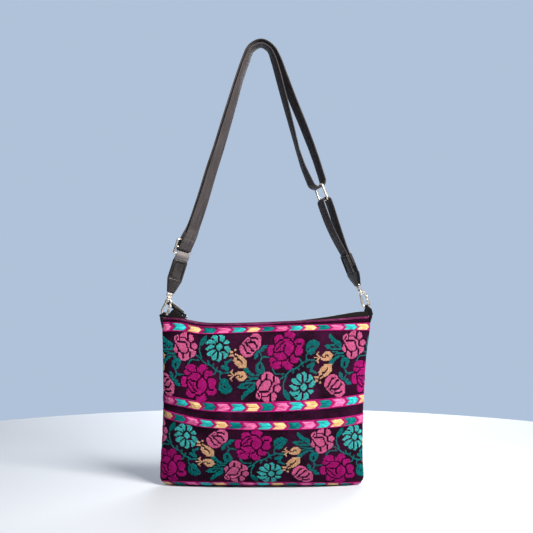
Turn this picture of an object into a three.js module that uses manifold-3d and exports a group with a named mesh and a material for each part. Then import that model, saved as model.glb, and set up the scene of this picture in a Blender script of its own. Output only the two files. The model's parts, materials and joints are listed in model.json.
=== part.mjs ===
// Embroidered crossbody bag: a zipped velvet pouch hung on a doubled webbing strap by two swivel clasps.
// Millimetres, +Z up, front towards -Y. The origin is under the strap's peak, where the strap hangs.

import * as THREE from 'three';
import { mergeVertices } from 'three/addons/utils/BufferGeometryUtils.js';
import Module from 'manifold-3d';

const solids = await Module();
solids.setup();
const radians = THREE.MathUtils.degToRad;
const lerp = THREE.MathUtils.lerp;

// Sizes of the bag
const GAP = 0.3;
const BAG_BASE = -595.5;
const BAG_HEIGHT = 228;
const WALL = 2;
const SEAM = 0.15;

// One row for each level of the bag: its side edges, half its depth, and how square it is seen from above
const LEVELS = [
  { height: 0, left: -124, right: 127, depth: 0, square: 2.6 },
  { height: 1.5, left: -130.5, right: 133, depth: 9, square: 2.6 },
  { height: 4, left: -134, right: 136.6, depth: 14.5, square: 2.6 },
  { height: 9, left: -137.2, right: 139.8, depth: 20.5, square: 2.6 },
  { height: 18, left: -138, right: 140.8, depth: 26.5, square: 2.6 },
  { height: 45, left: -137.2, right: 140.4, depth: 33.5, square: 2.5 },
  { height: 95, left: -135, right: 139.4, depth: 36, square: 2.4 },
  { height: 140, left: -133.6, right: 139.8, depth: 31, square: 2.5 },
  { height: 180, left: -133.6, right: 141.6, depth: 20, square: 3 },
  { height: 210, left: -134.2, right: 143.6, depth: 10.4, square: 5 },
  { height: 219.5, left: -134.4, right: 144.2, depth: 8.2, square: 7 },
  { height: 221, left: -134.5, right: 144.4, depth: 9, square: 8 },
  { height: 226.5, left: -134.6, right: 144.7, depth: 8.6, square: 8 },
  { height: 228, left: -134.6, right: 144.8, depth: 7.4, square: 8 },
];
const PANEL_ROWS = [0, 1.5, 4, 9, 18, 32, 50, 72, 95, 118, 140, 162, 182, 200, 212, 219.5, 221, 226.5, 228];
const PANEL_COLUMNS = 22;

// The top edge sags between the corners, where the clasps pull
const TOP_EDGE = [
  { x: -136, z: -368.6 },
  { x: -124, z: -368.4 },
  { x: -111, z: -369.3 },
  { x: -97, z: -372 },
  { x: -84, z: -374.8 },
  { x: -63, z: -376.3 },
  { x: -29, z: -376 },
  { x: 5, z: -375 },
  { x: 39, z: -373.4 },
  { x: 73, z: -371.6 },
  { x: 107, z: -369.4 },
  { x: 127, z: -367.8 },
  { x: 146, z: -366.4 },
];

// Shallow dents in the front
const DENTS = [
  { x: -96, height: 178, wide: 24, tall: 52, deep: 3 },
  { x: 104, height: 66, wide: 30, tall: 36, deep: 2.5 },
  { x: 24, height: 196, wide: 52, tall: 20, deep: 1.8 },
];

// Zip: how far the coil stands above the hem
const ZIP_RISE = [
  { x: -121, rise: 2.6 },
  { x: -105, rise: 0.6 },
  { x: -60, rise: -2.6 },
  { x: 0, rise: -2.6 },
  { x: 50, rise: -0.4 },
  { x: 90, rise: 2.4 },
  { x: 116, rise: 4.8 },
  { x: 134, rise: 5.8 },
];
const ZIP_START = -119;
const ZIP_END = 132;
const ZIP_STEPS = 24;
const COIL_WIDTH = 3.6;
const COIL_HEIGHT = 2.2;
const TAPE_THICK = 0.9;
const TAPE_DEEP = 8;
const SLIDER_X = -104;
const PULL_LENGTH = 24;
const PULL_LIFT = 40;
const PULL_YAW = 27;

// Clasps: heights are from the middle of the hook's lower bar, along the clasp
const CLASP = {
  wire: 1.3,
  halfWidth: 4.7,
  cornerStart: 2.2,
  tip: 7,
  barLow: 18.2,
  barHigh: 21,
  bore: 1.7,
  pivotX: 4.7,
  pivotHeight: 16,
  eyeBar: 35,
  eyeWire: 1.2,
  eyeHalfWidth: 6.3,
};

// The two sides of the strap: where the hook's lower bar is, how the side leans and how the strap is turned
const LEFT = { hook: [-131.6, 0, -361.5], lean: 17.5, turn: 22 };
const RIGHT = { hook: [142.4, 0, -351.8], lean: -21.7, turn: 113 };

// Strap
const WEBBING_WIDTH = 20;
const WEBBING_THICK = 1.6;
const LEATHER_THICK = 1.4;
const STRAP_SLIDER = { lower: 81, middle: 91, upper: 101 };
const STRAP_RING = { lower: 153.5, upper: 174.5 };
const BAR = 1.3;
const RING_TURN_RADIUS = 9.5;
const LOOP_TURN_RADIUS = 6;

// The long run of the doubled strap: its middle line, how it is turned and how far its two layers are apart
const ROUTE = [
  { x: -93.6, z: -239.2, turn: 32, apart: 2.2 },
  { x: -87.4, z: -224, turn: 42, apart: 2 },
  { x: -79.2, z: -201.5, turn: 48, apart: 2 },
  { x: -68, z: -170.7, turn: 46, apart: 2 },
  { x: -56.4, z: -138, turn: 45, apart: 2 },
  { x: -46.5, z: -105.4, turn: 46, apart: 2 },
  { x: -36.7, z: -72.8, turn: 50, apart: 2 },
  { x: -28.6, z: -45.6, turn: 55, apart: 2.1 },
  { x: -20.4, z: -18.6, turn: 64, apart: 3 },
  { x: -13.6, z: -2.8, turn: 76, apart: 4.8 },
  { x: 0, z: 4.4, turn: 90, apart: 6.8 },
  { x: 12.6, z: -2.4, turn: 80, apart: 5.8 },
  { x: 20, z: -17.4, turn: 71, apart: 5.8 },
  { x: 27.4, z: -40.1, turn: 67, apart: 7.2 },
  { x: 37.9, z: -72.8, turn: 67, apart: 10.8 },
  { x: 48.8, z: -105.4, turn: 67, apart: 14.6 },
  { x: 59.2, z: -138, turn: 67, apart: 18 },
  { x: 66.6, z: -159.8, turn: 67, apart: 19.4 },
];
const ROUTE_STEPS = 46;

// The sewn end round the slider's middle bar: height along the side, distance out to the front
const SEWN_END = [
  { up: 112, out: 2.4 },
  { up: 103, out: 2.4 },
  { up: 100.6, out: 2.4 },
  { up: 98.2, out: 1.4 },
  { up: 96, out: -0.6 },
  { up: 93.6, out: -2 },
  { up: 92.3, out: -2.45 },
  { up: 91, out: -2.5 },
  { up: 89.75, out: -2.2 },
  { up: 88.83, out: -1.25 },
  { up: 88.5, out: 0 },
  { up: 88.83, out: 1.25 },
  { up: 89.75, out: 2.2 },
  { up: 91, out: 2.5 },
  { up: 94, out: 2.9 },
  { up: 98, out: 3.9 },
  { up: 101, out: 4.4 },
  { up: 112, out: 4.4 },
  { up: 119, out: 2.5 },
];

// The running end: down behind the slider, forward over its lower bar and into the leather
const RUNNING_END = [
  { up: 119, out: -1.7 },
  { up: 109, out: -2.3 },
  { up: 101, out: -2.4 },
  { up: 96, out: -3.5 },
  { up: 92, out: -4.4 },
  { up: 89.2, out: -4.4 },
  { up: 87, out: -2.6 },
  { up: 85.2, out: 0 },
  { up: 83.3, out: 2.1 },
  { up: 81.2, out: 2.6 },
  { up: 78.8, out: 1.7 },
  { up: 76.4, out: 0.5 },
  { up: 74, out: 0 },
  { up: 56, out: 0 },
];

// Leather tab: half its thickness over the webbing and its width, from the top to the eye
const LEATHER = [
  { up: 74, width: 20 },
  { up: 62, width: 20 },
  { up: 48.5, width: 20 },
  { up: 46.5, width: 18 },
  { up: 38.5, width: 8 },
  { up: 36.5, width: 8 },
];

// Colours
const LOOKS = {
  velvet: { color: 0x2b0a2a, roughness: 0.9, metalness: 0 },
  zip: { color: 0x141214, roughness: 0.7, metalness: 0 },
  ribbon: { color: 0x101012, roughness: 0.8, metalness: 0 },
  webbing: { color: 0x3a3638, roughness: 0.8, metalness: 0 },
  leather: { color: 0x3c393c, roughness: 0.55, metalness: 0 },
  metal: { color: 0xf2ebdf, roughness: 0.25, metalness: 1 },
};

function vector(x, y, z) {
  return new THREE.Vector3(x, y, z);
}

// A smooth value from a table, by the column that orders its rows
function readTable(table, order, column, at) {
  const last = table.length - 1;
  let row = 0;
  while (row < last - 1 && at > table[row + 1][order]) row += 1;
  const slope = (k) => {
    const before = table[Math.max(k - 1, 0)];
    const after = table[Math.min(k + 1, last)];
    return (after[column] - before[column]) / (after[order] - before[order]);
  };
  const from = table[row];
  const to = table[row + 1];
  const span = to[order] - from[order];
  const t = THREE.MathUtils.clamp((at - from[order]) / span, 0, 1);
  const bend = (slope(row) * (1 - t) - slope(row + 1) * t) * t * (1 - t) * span;
  const ease = t * t * (3 - 2 * t);
  return lerp(from[column], to[column], ease) + bend;
}

// One closed body from points and triangles, turned outwards
function closedBody(points, triangles) {
  let volume = 0;
  for (const [a, b, c] of triangles) {
    volume += points[a].dot(points[b].clone().cross(points[c]));
  }
  const index = triangles.flatMap(([a, b, c]) => (volume > 0 ? [a, b, c] : [a, c, b]));
  const geometry = new THREE.BufferGeometry();
  const numbers = points.flatMap((point) => point.toArray());
  geometry.setAttribute('position', new THREE.Float32BufferAttribute(numbers, 3));
  geometry.setIndex(index);
  return geometry;
}

// A wall between two grids of points of the same size, closed round its edge
function wallBetween(outer, inner) {
  const rows = outer.length;
  const columns = outer[0].length;
  const points = [...outer.flat(), ...inner.flat()];
  const at = (layer, row, column) => layer * rows * columns + row * columns + column;
  const triangles = [];
  const quad = (a, b, c, d) => triangles.push([a, b, c], [a, c, d]);
  for (let row = 0; row < rows - 1; row += 1) {
    for (let column = 0; column < columns - 1; column += 1) {
      quad(at(0, row, column), at(0, row, column + 1), at(0, row + 1, column + 1), at(0, row + 1, column));
      quad(at(1, row, column), at(1, row + 1, column), at(1, row + 1, column + 1), at(1, row, column + 1));
    }
    quad(at(0, row, 0), at(0, row + 1, 0), at(1, row + 1, 0), at(1, row, 0));
    const end = columns - 1;
    quad(at(0, row + 1, end), at(0, row, end), at(1, row, end), at(1, row + 1, end));
  }
  for (let column = 0; column < columns - 1; column += 1) {
    quad(at(0, 0, column + 1), at(0, 0, column), at(1, 0, column), at(1, 0, column + 1));
    const end = rows - 1;
    quad(at(0, end, column), at(0, end, column + 1), at(1, end, column + 1), at(1, end, column));
  }
  return closedBody(points, triangles);
}

// A flat band along stations, each with a point, the direction across and a width
function band(stations, thickness) {
  const points = [];
  stations.forEach((station, k) => {
    const before = stations[Math.max(k - 1, 0)].point;
    const after = stations[Math.min(k + 1, stations.length - 1)].point;
    const along = after.clone().sub(before).normalize();
    const out = station.across.clone().cross(along).normalize();
    for (const [side, face] of [[-1, -1], [1, -1], [1, 1], [-1, 1]]) {
      const corner = station.point.clone();
      corner.addScaledVector(station.across, side * station.width / 2);
      points.push(corner.addScaledVector(out, face * thickness / 2));
    }
  });
  const triangles = [];
  const quad = (a, b, c, d) => triangles.push([a, b, c], [a, c, d]);
  for (let k = 0; k < stations.length - 1; k += 1) {
    for (let side = 0; side < 4; side += 1) {
      const next = (side + 1) % 4;
      quad(4 * k + side, 4 * k + 4 + side, 4 * k + 4 + next, 4 * k + next);
    }
  }
  const end = 4 * (stations.length - 1);
  quad(0, 1, 2, 3);
  quad(end + 3, end + 2, end + 1, end);
  return closedBody(points, triangles);
}

// Joining and cutting
function toSolid(geometry) {
  const plain = geometry.clone();
  plain.deleteAttribute('normal');
  plain.deleteAttribute('uv');
  const merged = mergeVertices(plain, 1e-4);
  return new solids.Manifold(new solids.Mesh({
    numProp: 3,
    vertProperties: new Float32Array(merged.attributes.position.array),
    triVerts: new Uint32Array(merged.index.array),
  }));
}

function fromSolid(solid) {
  const mesh = solid.getMesh();
  const geometry = new THREE.BufferGeometry();
  geometry.setAttribute('position', new THREE.Float32BufferAttribute(mesh.vertProperties, 3));
  geometry.setIndex([...mesh.triVerts]);
  return geometry;
}

function join(...pieces) {
  return fromSolid(pieces.map(toSolid).reduce((whole, piece) => whole.add(piece)));
}

function cut(body, ...holes) {
  return fromSolid(holes.map(toSolid).reduce((whole, hole) => whole.subtract(hole), toSolid(body)));
}

// A plate drawn in X and Z, with its thickness along Y and bevelled edges
function plate(shape, thickness, bevel, curveSegments = 5) {
  const geometry = new THREE.ExtrudeGeometry(shape, {
    depth: thickness - 2 * bevel,
    bevelEnabled: bevel > 0,
    bevelThickness: bevel,
    bevelSize: bevel,
    bevelOffset: -bevel,
    bevelSegments: 1,
    curveSegments,
  });
  geometry.translate(0, 0, -(thickness - 2 * bevel) / 2);
  return geometry.rotateX(Math.PI / 2);
}

function pin(radius, from, to, axis) {
  const geometry = new THREE.CylinderGeometry(radius, radius, to - from, 14);
  geometry.translate(0, (from + to) / 2, 0);
  return axis === 'z' ? geometry.rotateX(Math.PI / 2) : geometry;
}

function roundedRectangle(path, left, low, right, high, radius) {
  path.moveTo(left + radius, low);
  path.lineTo(right - radius, low);
  path.absarc(right - radius, low + radius, radius, -Math.PI / 2, 0);
  path.lineTo(right, high - radius);
  path.absarc(right - radius, high - radius, radius, 0, Math.PI / 2);
  path.lineTo(left + radius, high);
  path.absarc(left + radius, high - radius, radius, Math.PI / 2, Math.PI);
  path.lineTo(left, low + radius);
  path.absarc(left + radius, low + radius, radius, Math.PI, Math.PI * 1.5);
  return path;
}

// Bag
function topEdge(x) {
  return readTable(TOP_EDGE, 'x', 'z', x);
}

function fullness(across, square) {
  return (1 - Math.abs(across) ** square) ** 0.58;
}

function dent(x, height) {
  return DENTS.reduce((sum, row) => {
    const far = ((x - row.x) / row.wide) ** 2 + ((height - row.height) / row.tall) ** 2;
    return sum + row.deep * Math.exp(-far);
  }, 0);
}

// A point of a bag wall: side is -1 for the front and 1 for the back
function bagPoint(across, height, inset, side) {
  const level = (column) => readTable(LEVELS, 'height', column, height);
  const left = level('left') + 1.2 * inset;
  const right = level('right') - 1.2 * inset;
  const x = lerp(left, right, (across + 1) / 2);
  const full = fullness(across, level('square'));
  const taken = side < 0 ? dent(x, height) * Math.min(height / 20, 1) : 0;
  const depth = Math.max(level('depth') - taken - inset, 0);
  const share = height / BAG_HEIGHT;
  const lift = (topEdge(x) - BAG_BASE - BAG_HEIGHT) * share;
  const z = BAG_BASE + height + lift + 1.2 * inset * (1 - share);
  return vector(x, side * (SEAM + depth * full), z);
}

function bagPanel(side) {
  const grid = (inset) => PANEL_ROWS.map((height) => {
    const columns = [];
    for (let k = 0; k <= PANEL_COLUMNS; k += 1) {
      const across = Math.sin((k / PANEL_COLUMNS - 0.5) * Math.PI);
      columns.push(bagPoint(across, height, inset, side));
    }
    return columns;
  });
  return wallBetween(grid(0), grid(WALL));
}

// Zip
function zipHeight(x) {
  return topEdge(x) + readTable(ZIP_RISE, 'x', 'rise', x);
}

// How far the inside of a hem is from the middle
function hemInside(x, side) {
  const { left, right } = LEVELS[LEVELS.length - 1];
  const across = (2 * x - left - right) / (right - left);
  const depths = [212, 219.5, 228].map((height) => Math.abs(bagPoint(across, height, WALL, side).y));
  return Math.min(...depths);
}

function zipTape(side) {
  const outer = [];
  const inner = [];
  for (let k = 0; k <= ZIP_STEPS; k += 1) {
    const x = lerp(ZIP_START, ZIP_END, k / ZIP_STEPS);
    const hem = topEdge(x);
    const zip = zipHeight(x);
    const away = hemInside(x, side) - 1.5 * GAP;
    const edge = COIL_WIDTH / 2 + GAP;
    const bend = Math.min(hem - 1, zip - 1.4);
    outer.push([
      vector(x, side * away, hem - TAPE_DEEP),
      vector(x, side * away, bend),
      vector(x, side * edge, zip + TAPE_THICK / 2),
    ]);
    inner.push([
      vector(x, side * (away - TAPE_THICK), hem - TAPE_DEEP),
      vector(x, side * (away - TAPE_THICK), bend - TAPE_THICK / 2),
      vector(x, side * edge, zip - TAPE_THICK / 2),
    ]);
  }
  return wallBetween(outer, inner);
}

function zipCoil() {
  const stations = [];
  for (let k = 0; k <= ZIP_STEPS; k += 1) {
    const x = lerp(ZIP_START, ZIP_END, k / ZIP_STEPS);
    stations.push({ point: vector(x, 0, zipHeight(x)), across: vector(0, 1, 0), width: COIL_WIDTH });
  }
  return band(stations, COIL_HEIGHT);
}

// The slider's pin is the origin of the slider and the pull
const PIN_ABOVE_COIL = COIL_HEIGHT / 2 + 2 * GAP + 3.6;

function zipSlider(slope) {
  const base = new THREE.Shape();
  roundedRectangle(base, -5, -3.6, 5, -2.1, 0.6);
  const body = plate(base, 7.6, 0.4, 2).rotateY(slope);
  const ear = new THREE.Shape();
  ear.moveTo(-1.9, -2.9);
  ear.lineTo(1.9, -2.9);
  ear.lineTo(1.2, 0.4);
  ear.absarc(0, 0.2, 1.2, 0.2, Math.PI - 0.2);
  const yaw = radians(PULL_YAW);
  const ears = [-2.1, 2.1].map((y) => plate(ear, 1, 0.2, 3).translate(0, y, 0).rotateZ(-yaw));
  const post = pin(0.6, -2.2, 2.2, 'y').rotateZ(-yaw);
  return join(body, ...ears, post);
}

function zipPull() {
  const outline = new THREE.Shape();
  outline.absarc(0, 0, 1.7, radians(50), radians(310));
  outline.lineTo(4.2, -1.2);
  outline.lineTo(5.4, -1.9);
  outline.lineTo(PULL_LENGTH - 1.4, -2.1);
  outline.quadraticCurveTo(PULL_LENGTH, -2.1, PULL_LENGTH, 0);
  outline.quadraticCurveTo(PULL_LENGTH, 2.1, PULL_LENGTH - 1.4, 2.1);
  outline.lineTo(5.4, 1.9);
  outline.lineTo(4.2, 1.2);
  const neck = plate(outline, 2.4, 0.3, 4);
  const grip = new THREE.Shape();
  roundedRectangle(grip, 5, -2.4, PULL_LENGTH, 2.4, 1.6);
  const body = join(neck, plate(grip, 6, 0.9, 2));
  return cut(body, pin(1, -3, 3, 'y'));
}

// Clasp
function claspHook() {
  const { wire, halfWidth, cornerStart, tip, barLow, barHigh, bore, pivotX, pivotHeight } = CLASP;
  const corner = halfWidth - cornerStart;
  const path = new THREE.CurvePath();
  const at = (x, z) => vector(x, 0, z);
  path.add(new THREE.LineCurve3(at(-halfWidth, barLow + 1.4), at(-halfWidth, corner)));
  path.add(new THREE.QuadraticBezierCurve3(at(-halfWidth, corner), at(-halfWidth, 0), at(-cornerStart, 0)));
  path.add(new THREE.LineCurve3(at(-cornerStart, 0), at(cornerStart, 0)));
  path.add(new THREE.QuadraticBezierCurve3(at(cornerStart, 0), at(halfWidth, 0), at(halfWidth, corner)));
  path.add(new THREE.LineCurve3(at(halfWidth, corner), at(halfWidth, tip)));
  const round = new THREE.Shape();
  round.absarc(0, 0, wire, 0, Math.PI * 2);
  const wireBody = new THREE.ExtrudeGeometry(round, { steps: 24, extrudePath: path, curveSegments: 4 });
  const top = new THREE.Shape();
  top.absarc(halfWidth + 0.6, 0, 2.5, -Math.PI / 2, Math.PI / 2);
  top.absarc(-halfWidth + 0.6, 0, 2.5, Math.PI / 2, Math.PI * 1.5);
  const bar = new THREE.ExtrudeGeometry(top, {
    depth: barHigh - barLow - 0.8,
    bevelThickness: 0.4,
    bevelSize: 0.4,
    bevelOffset: -0.4,
    bevelSegments: 1,
    curveSegments: 6,
  });
  bar.translate(0, 0, barLow + 0.4);
  const ear = new THREE.Shape();
  ear.moveTo(pivotX - 1.5, barLow + 0.5);
  ear.lineTo(pivotX - 1.5, pivotHeight);
  ear.absarc(pivotX, pivotHeight, 1.5, Math.PI, Math.PI * 2);
  ear.lineTo(pivotX + 1.5, barLow + 0.5);
  const ears = [-1.5, 1.5].map((y) => plate(ear, 0.9, 0, 3).translate(0, y, 0));
  const body = join(wireBody, bar, ...ears);
  const hinge = pin(0.85, -3, 3, 'y').translate(pivotX, 0, pivotHeight);
  return cut(body, pin(bore, barLow - 1, barHigh + 1, 'z'), hinge);
}

function claspGate() {
  const { tip, pivotX, pivotHeight } = CLASP;
  const low = tip + 0.4;
  const tongue = new THREE.Shape();
  tongue.moveTo(pivotX - 1, low);
  tongue.lineTo(pivotX + 1, low);
  tongue.lineTo(pivotX + 1.3, pivotHeight);
  tongue.absarc(pivotX, pivotHeight, 1.3, 0, Math.PI);
  const arm = new THREE.Shape();
  arm.moveTo(pivotX - 1, low);
  arm.lineTo(pivotX + 1, low);
  arm.lineTo(pivotX + 1.1, low + 2.4);
  arm.lineTo(pivotX + 3.6, low + 3.2);
  arm.lineTo(pivotX + 4.2, low + 4.4);
  arm.lineTo(pivotX + 3.6, low + 5.2);
  arm.lineTo(pivotX + 1.2, low + 5.8);
  arm.lineTo(pivotX - 1.1, low + 5.8);
  const post = pin(0.55, -1.9, 1.9, 'y').translate(pivotX, 0, pivotHeight);
  return join(plate(tongue, 1.5, 0.2, 3), plate(arm, 2.4, 0.4, 3), post);
}

function claspEye() {
  const { barLow, barHigh, eyeBar, eyeWire, eyeHalfWidth } = CLASP;
  const low = barHigh + GAP;
  const outline = new THREE.Shape();
  const high = eyeBar + eyeWire;
  outline.moveTo(-2.4, low + 0.8);
  outline.lineTo(2.4, low + 0.8);
  outline.quadraticCurveTo(eyeHalfWidth, low + 1.6, eyeHalfWidth, low + 6);
  outline.lineTo(eyeHalfWidth, high - 1.4);
  outline.quadraticCurveTo(eyeHalfWidth, high, eyeHalfWidth - 1.4, high);
  outline.lineTo(-eyeHalfWidth + 1.4, high);
  outline.quadraticCurveTo(-eyeHalfWidth, high, -eyeHalfWidth, high - 1.4);
  outline.lineTo(-eyeHalfWidth, low + 6);
  outline.quadraticCurveTo(-eyeHalfWidth, low + 1.6, -2.4, low + 0.8);
  const window = new THREE.Path();
  const inside = eyeHalfWidth - 2 * eyeWire + 0.6;
  window.moveTo(-1.6, low + 3.2);
  window.lineTo(1.6, low + 3.2);
  window.quadraticCurveTo(inside, low + 3.8, inside, low + 6.6);
  window.lineTo(inside, eyeBar - eyeWire);
  window.lineTo(-inside, eyeBar - eyeWire);
  window.lineTo(-inside, low + 6.6);
  window.quadraticCurveTo(-inside, low + 3.8, -1.6, low + 3.2);
  outline.holes.push(window);
  const loop = plate(outline, 2 * eyeWire, 0.5, 3);
  const collar = pin(2.6, low, low + 1.6, 'z');
  const post = pin(1.4, barLow - 1.2, low + 1, 'z');
  const rivet = pin(2.1, barLow - GAP - 1.3, barLow - GAP, 'z');
  return join(loop, collar, post, rivet);
}

// Strap hardware, drawn across X with its bars level
function strapRing() {
  const half = WEBBING_WIDTH / 2 + 0.6;
  const outline = new THREE.Shape();
  const low = STRAP_RING.lower;
  const high = STRAP_RING.upper;
  roundedRectangle(outline, -half - 2 * BAR, low - BAR, half + 2 * BAR, high + BAR, 2.4);
  outline.holes.push(roundedRectangle(new THREE.Path(), -half, low + BAR, half, high - BAR, 0.6));
  return plate(outline, 2 * BAR, 0.6, 2);
}

function strapSlider() {
  const half = WEBBING_WIDTH / 2 + 0.6;
  const { lower, middle, upper } = STRAP_SLIDER;
  const outline = new THREE.Shape();
  roundedRectangle(outline, -half - 2 * BAR, lower - BAR, half + 2 * BAR, upper + BAR, 2.2);
  outline.holes.push(roundedRectangle(new THREE.Path(), -half, lower + BAR, half, middle - BAR, 0.5));
  outline.holes.push(roundedRectangle(new THREE.Path(), -half, middle + BAR, half, upper - BAR, 0.5));
  return plate(outline, 2.2, 0.6, 2);
}

// Leather strip folded through the eye, with the webbing between its layers
function leatherTab(opening) {
  const reach = CLASP.eyeWire + 2 * GAP + LEATHER_THICK / 2;
  const half = opening / 2 + GAP + LEATHER_THICK / 2;
  const across = vector(1, 0, 0);
  const station = (row, side) => {
    const pinched = THREE.MathUtils.smoothstep(row.up, 36, 50);
    const out = side * lerp(reach, half, pinched);
    return { point: vector(0, out, row.up), across, width: row.width };
  };
  const front = LEATHER.map((row) => station(row, -1));
  const back = LEATHER.map((row) => station(row, 1)).reverse();
  const round = [];
  for (let k = 0; k <= 8; k += 1) {
    const angle = Math.PI * (k / 8);
    const point = vector(0, -reach * Math.cos(angle), CLASP.eyeBar - reach * Math.sin(angle));
    round.push({ point, across, width: 8 });
  }
  return band([...front, ...round, ...back], LEATHER_THICK);
}

// Webbing
const rightSide = new THREE.Group();
const leftSide = new THREE.Group();
const rightStrap = new THREE.Group();
const leftStrap = new THREE.Group();
leftSide.add(leftStrap);
rightSide.add(rightStrap);
for (const [group, strap, side] of [[leftSide, leftStrap, LEFT], [rightSide, rightStrap, RIGHT]]) {
  group.position.set(...side.hook);
  group.rotation.y = radians(side.lean);
  strap.rotation.z = radians(side.turn);
  group.updateMatrixWorld(true);
}

// A station on one side of the strap, given in that side's own directions
function sideStation(strap, out, up) {
  const point = strap.localToWorld(vector(0, out, up));
  const across = vector(1, 0, 0).transformDirection(strap.matrixWorld);
  return { point, across, width: WEBBING_WIDTH };
}

// A layer of the long run: layer is 1 for the inner and -1 for the outer
function routeStations(layer) {
  const curve = new THREE.CatmullRomCurve3(ROUTE.map((row) => vector(row.x, 0, row.z)));
  const stations = [];
  for (let k = 0; k <= ROUTE_STEPS; k += 1) {
    const t = k / ROUTE_STEPS;
    const place = t * (ROUTE.length - 1);
    const row = Math.min(Math.floor(place), ROUTE.length - 2);
    const turn = radians(lerp(ROUTE[row].turn, ROUTE[row + 1].turn, place - row));
    const apart = lerp(ROUTE[row].apart, ROUTE[row + 1].apart, place - row);
    const along = curve.getTangent(t);
    const inward = vector(along.z, 0, -along.x);
    const across = inward.clone().multiplyScalar(Math.cos(turn)).add(vector(0, Math.sin(turn), 0));
    const face = inward.clone().multiplyScalar(Math.sin(turn)).add(vector(0, -Math.cos(turn), 0));
    const point = curve.getPoint(t).addScaledVector(face, layer * apart / 2);
    stations.push({ point, across, width: WEBBING_WIDTH });
  }
  return stations;
}

function strapWebbing() {
  const sewn = SEWN_END.map((row) => sideStation(leftStrap, -row.out, row.up));
  const running = RUNNING_END.map((row) => sideStation(leftStrap, -row.out, row.up));
  const turn = [];
  const centre = STRAP_RING.upper - BAR - 1.5 * GAP - WEBBING_THICK / 2 + RING_TURN_RADIUS;
  for (let k = 0; k <= 14; k += 1) {
    const angle = Math.PI * (k / 14);
    const out = RING_TURN_RADIUS * Math.cos(angle);
    turn.push(sideStation(rightStrap, out, centre - RING_TURN_RADIUS * Math.sin(angle)));
  }
  const outer = routeStations(-1).reverse();
  return band([...sewn, ...routeStations(1), ...turn, ...outer, ...running], WEBBING_THICK);
}

function strapLoop() {
  const legs = [
    { up: 56, out: 1.7 },
    { up: 73, out: 1.7 },
    { up: 84, out: 2.4 },
    { up: 100, out: 4 },
    { up: 120, out: 5.4 },
    { up: 136, out: LOOP_TURN_RADIUS },
  ];
  const centre = STRAP_RING.lower + BAR + 1.5 * GAP + WEBBING_THICK / 2 - LOOP_TURN_RADIUS;
  const turn = [];
  for (let k = 0; k <= 12; k += 1) {
    const angle = Math.PI * (k / 12);
    turn.push({ up: centre + LOOP_TURN_RADIUS * Math.sin(angle), out: LOOP_TURN_RADIUS * Math.cos(angle) });
  }
  const back = legs.map((row) => ({ up: row.up, out: -row.out })).reverse();
  const across = vector(1, 0, 0);
  const rows = [...legs, ...turn, ...back];
  const station = (row) => ({ point: vector(0, row.out, row.up), across, width: WEBBING_WIDTH });
  return band(rows.map(station), WEBBING_THICK);
}

// Ribbon tab: a loop over the hook's lower bar, a base on the corner and a sleeve down the side seam
function cornerTab(edge) {
  const level = LEVELS[LEVELS.length - 1];
  const edgeX = edge < 0 ? level.left : level.right;
  const hem = topEdge(edgeX);
  const place = edge < 0 ? leftSide : rightSide;
  const hookAcross = vector(1, 0, 0).transformDirection(place.matrixWorld);
  const loopRadius = 3.1;
  const leg = (face) => [0.2, 0.4, 0.7, 1].map((share) => {
    const top = place.localToWorld(vector(0, face * loopRadius, -0.75));
    const foot = vector(edgeX + edge * 0.4, face * 0.9, hem + 1.7);
    const point = top.clone().lerp(foot, share);
    point.y = lerp(top.y, foot.y, THREE.MathUtils.smoothstep(share, 0, 1));
    const across = hookAcross.clone().lerp(vector(1, 0, 0), share).normalize();
    return { point, across, width: lerp(4.8, 8.6, share) };
  });
  const over = [];
  for (let k = 0; k <= 8; k += 1) {
    const angle = Math.PI * (k / 8);
    const spot = vector(0, -loopRadius * Math.cos(angle), -0.75 + loopRadius * Math.sin(angle));
    over.push({ point: place.localToWorld(spot), across: hookAcross, width: 4.8 });
  }
  const loop = band([...leg(-1).reverse(), ...over, ...leg(1)], 1.2);
  const base = new THREE.BoxGeometry(13.4, 2.7, 2.6);
  base.translate(edgeX - edge * 2, 0, hem + 1.7);

  const outer = [];
  const inner = [];
  for (let row = 0; row <= 6; row += 1) {
    const drop = lerp(24, -2.8, row / 6);
    const height = Math.min(BAG_HEIGHT - drop, BAG_HEIGHT);
    const thick = lerp(0.3, 4, THREE.MathUtils.smoothstep(row, 0, 5));
    const outerRow = [];
    const innerRow = [];
    for (let column = -3; column <= 3; column += 1) {
      const share = Math.abs(column) / 3;
      const face = column < 0 ? -1 : 1;
      const spot = bagPoint(edge * (1 - 0.012 * share * share), height, 0, face);
      if (column === 0) spot.y = 0;
      spot.z = hem - drop;
      const away = vector(edge, Math.sign(column) * share * 1.3, 0).normalize();
      innerRow.push(spot.clone().addScaledVector(away, 0.45));
      outerRow.push(spot.clone().addScaledVector(away, 0.45 + thick));
    }
    outer.push(outerRow);
    inner.push(innerRow);
  }
  return join(loop, base, wallBetween(outer, inner));
}

// Assembly
const bag = new THREE.Group();
bag.name = 'crossbody_bag';

function addPiece(name, geometry, look, parent = bag) {
  const piece = new THREE.Mesh(geometry, new THREE.MeshStandardMaterial(LOOKS[look]));
  piece.name = name;
  parent.add(piece);
  return piece;
}

addPiece('front_panel', bagPanel(-1), 'velvet');
addPiece('back_panel', bagPanel(1), 'velvet');
addPiece('zip_tape_front', zipTape(-1), 'zip');
addPiece('zip_tape_back', zipTape(1), 'zip');
addPiece('zip_coil', zipCoil(), 'zip');

const pinHeight = zipHeight(SLIDER_X) + PIN_ABOVE_COIL;
const coilSlope = Math.atan2(zipHeight(SLIDER_X - 4) - zipHeight(SLIDER_X + 4), 8);
addPiece('zip_slider', zipSlider(coilSlope), 'zip').position.set(SLIDER_X, 0, pinHeight);
const pull = addPiece('zip_pull', zipPull(), 'zip');
pull.position.set(SLIDER_X, 0, pinHeight);
pull.rotation.set(0, radians(180 + PULL_LIFT), radians(-PULL_YAW), 'ZYX');

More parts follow.
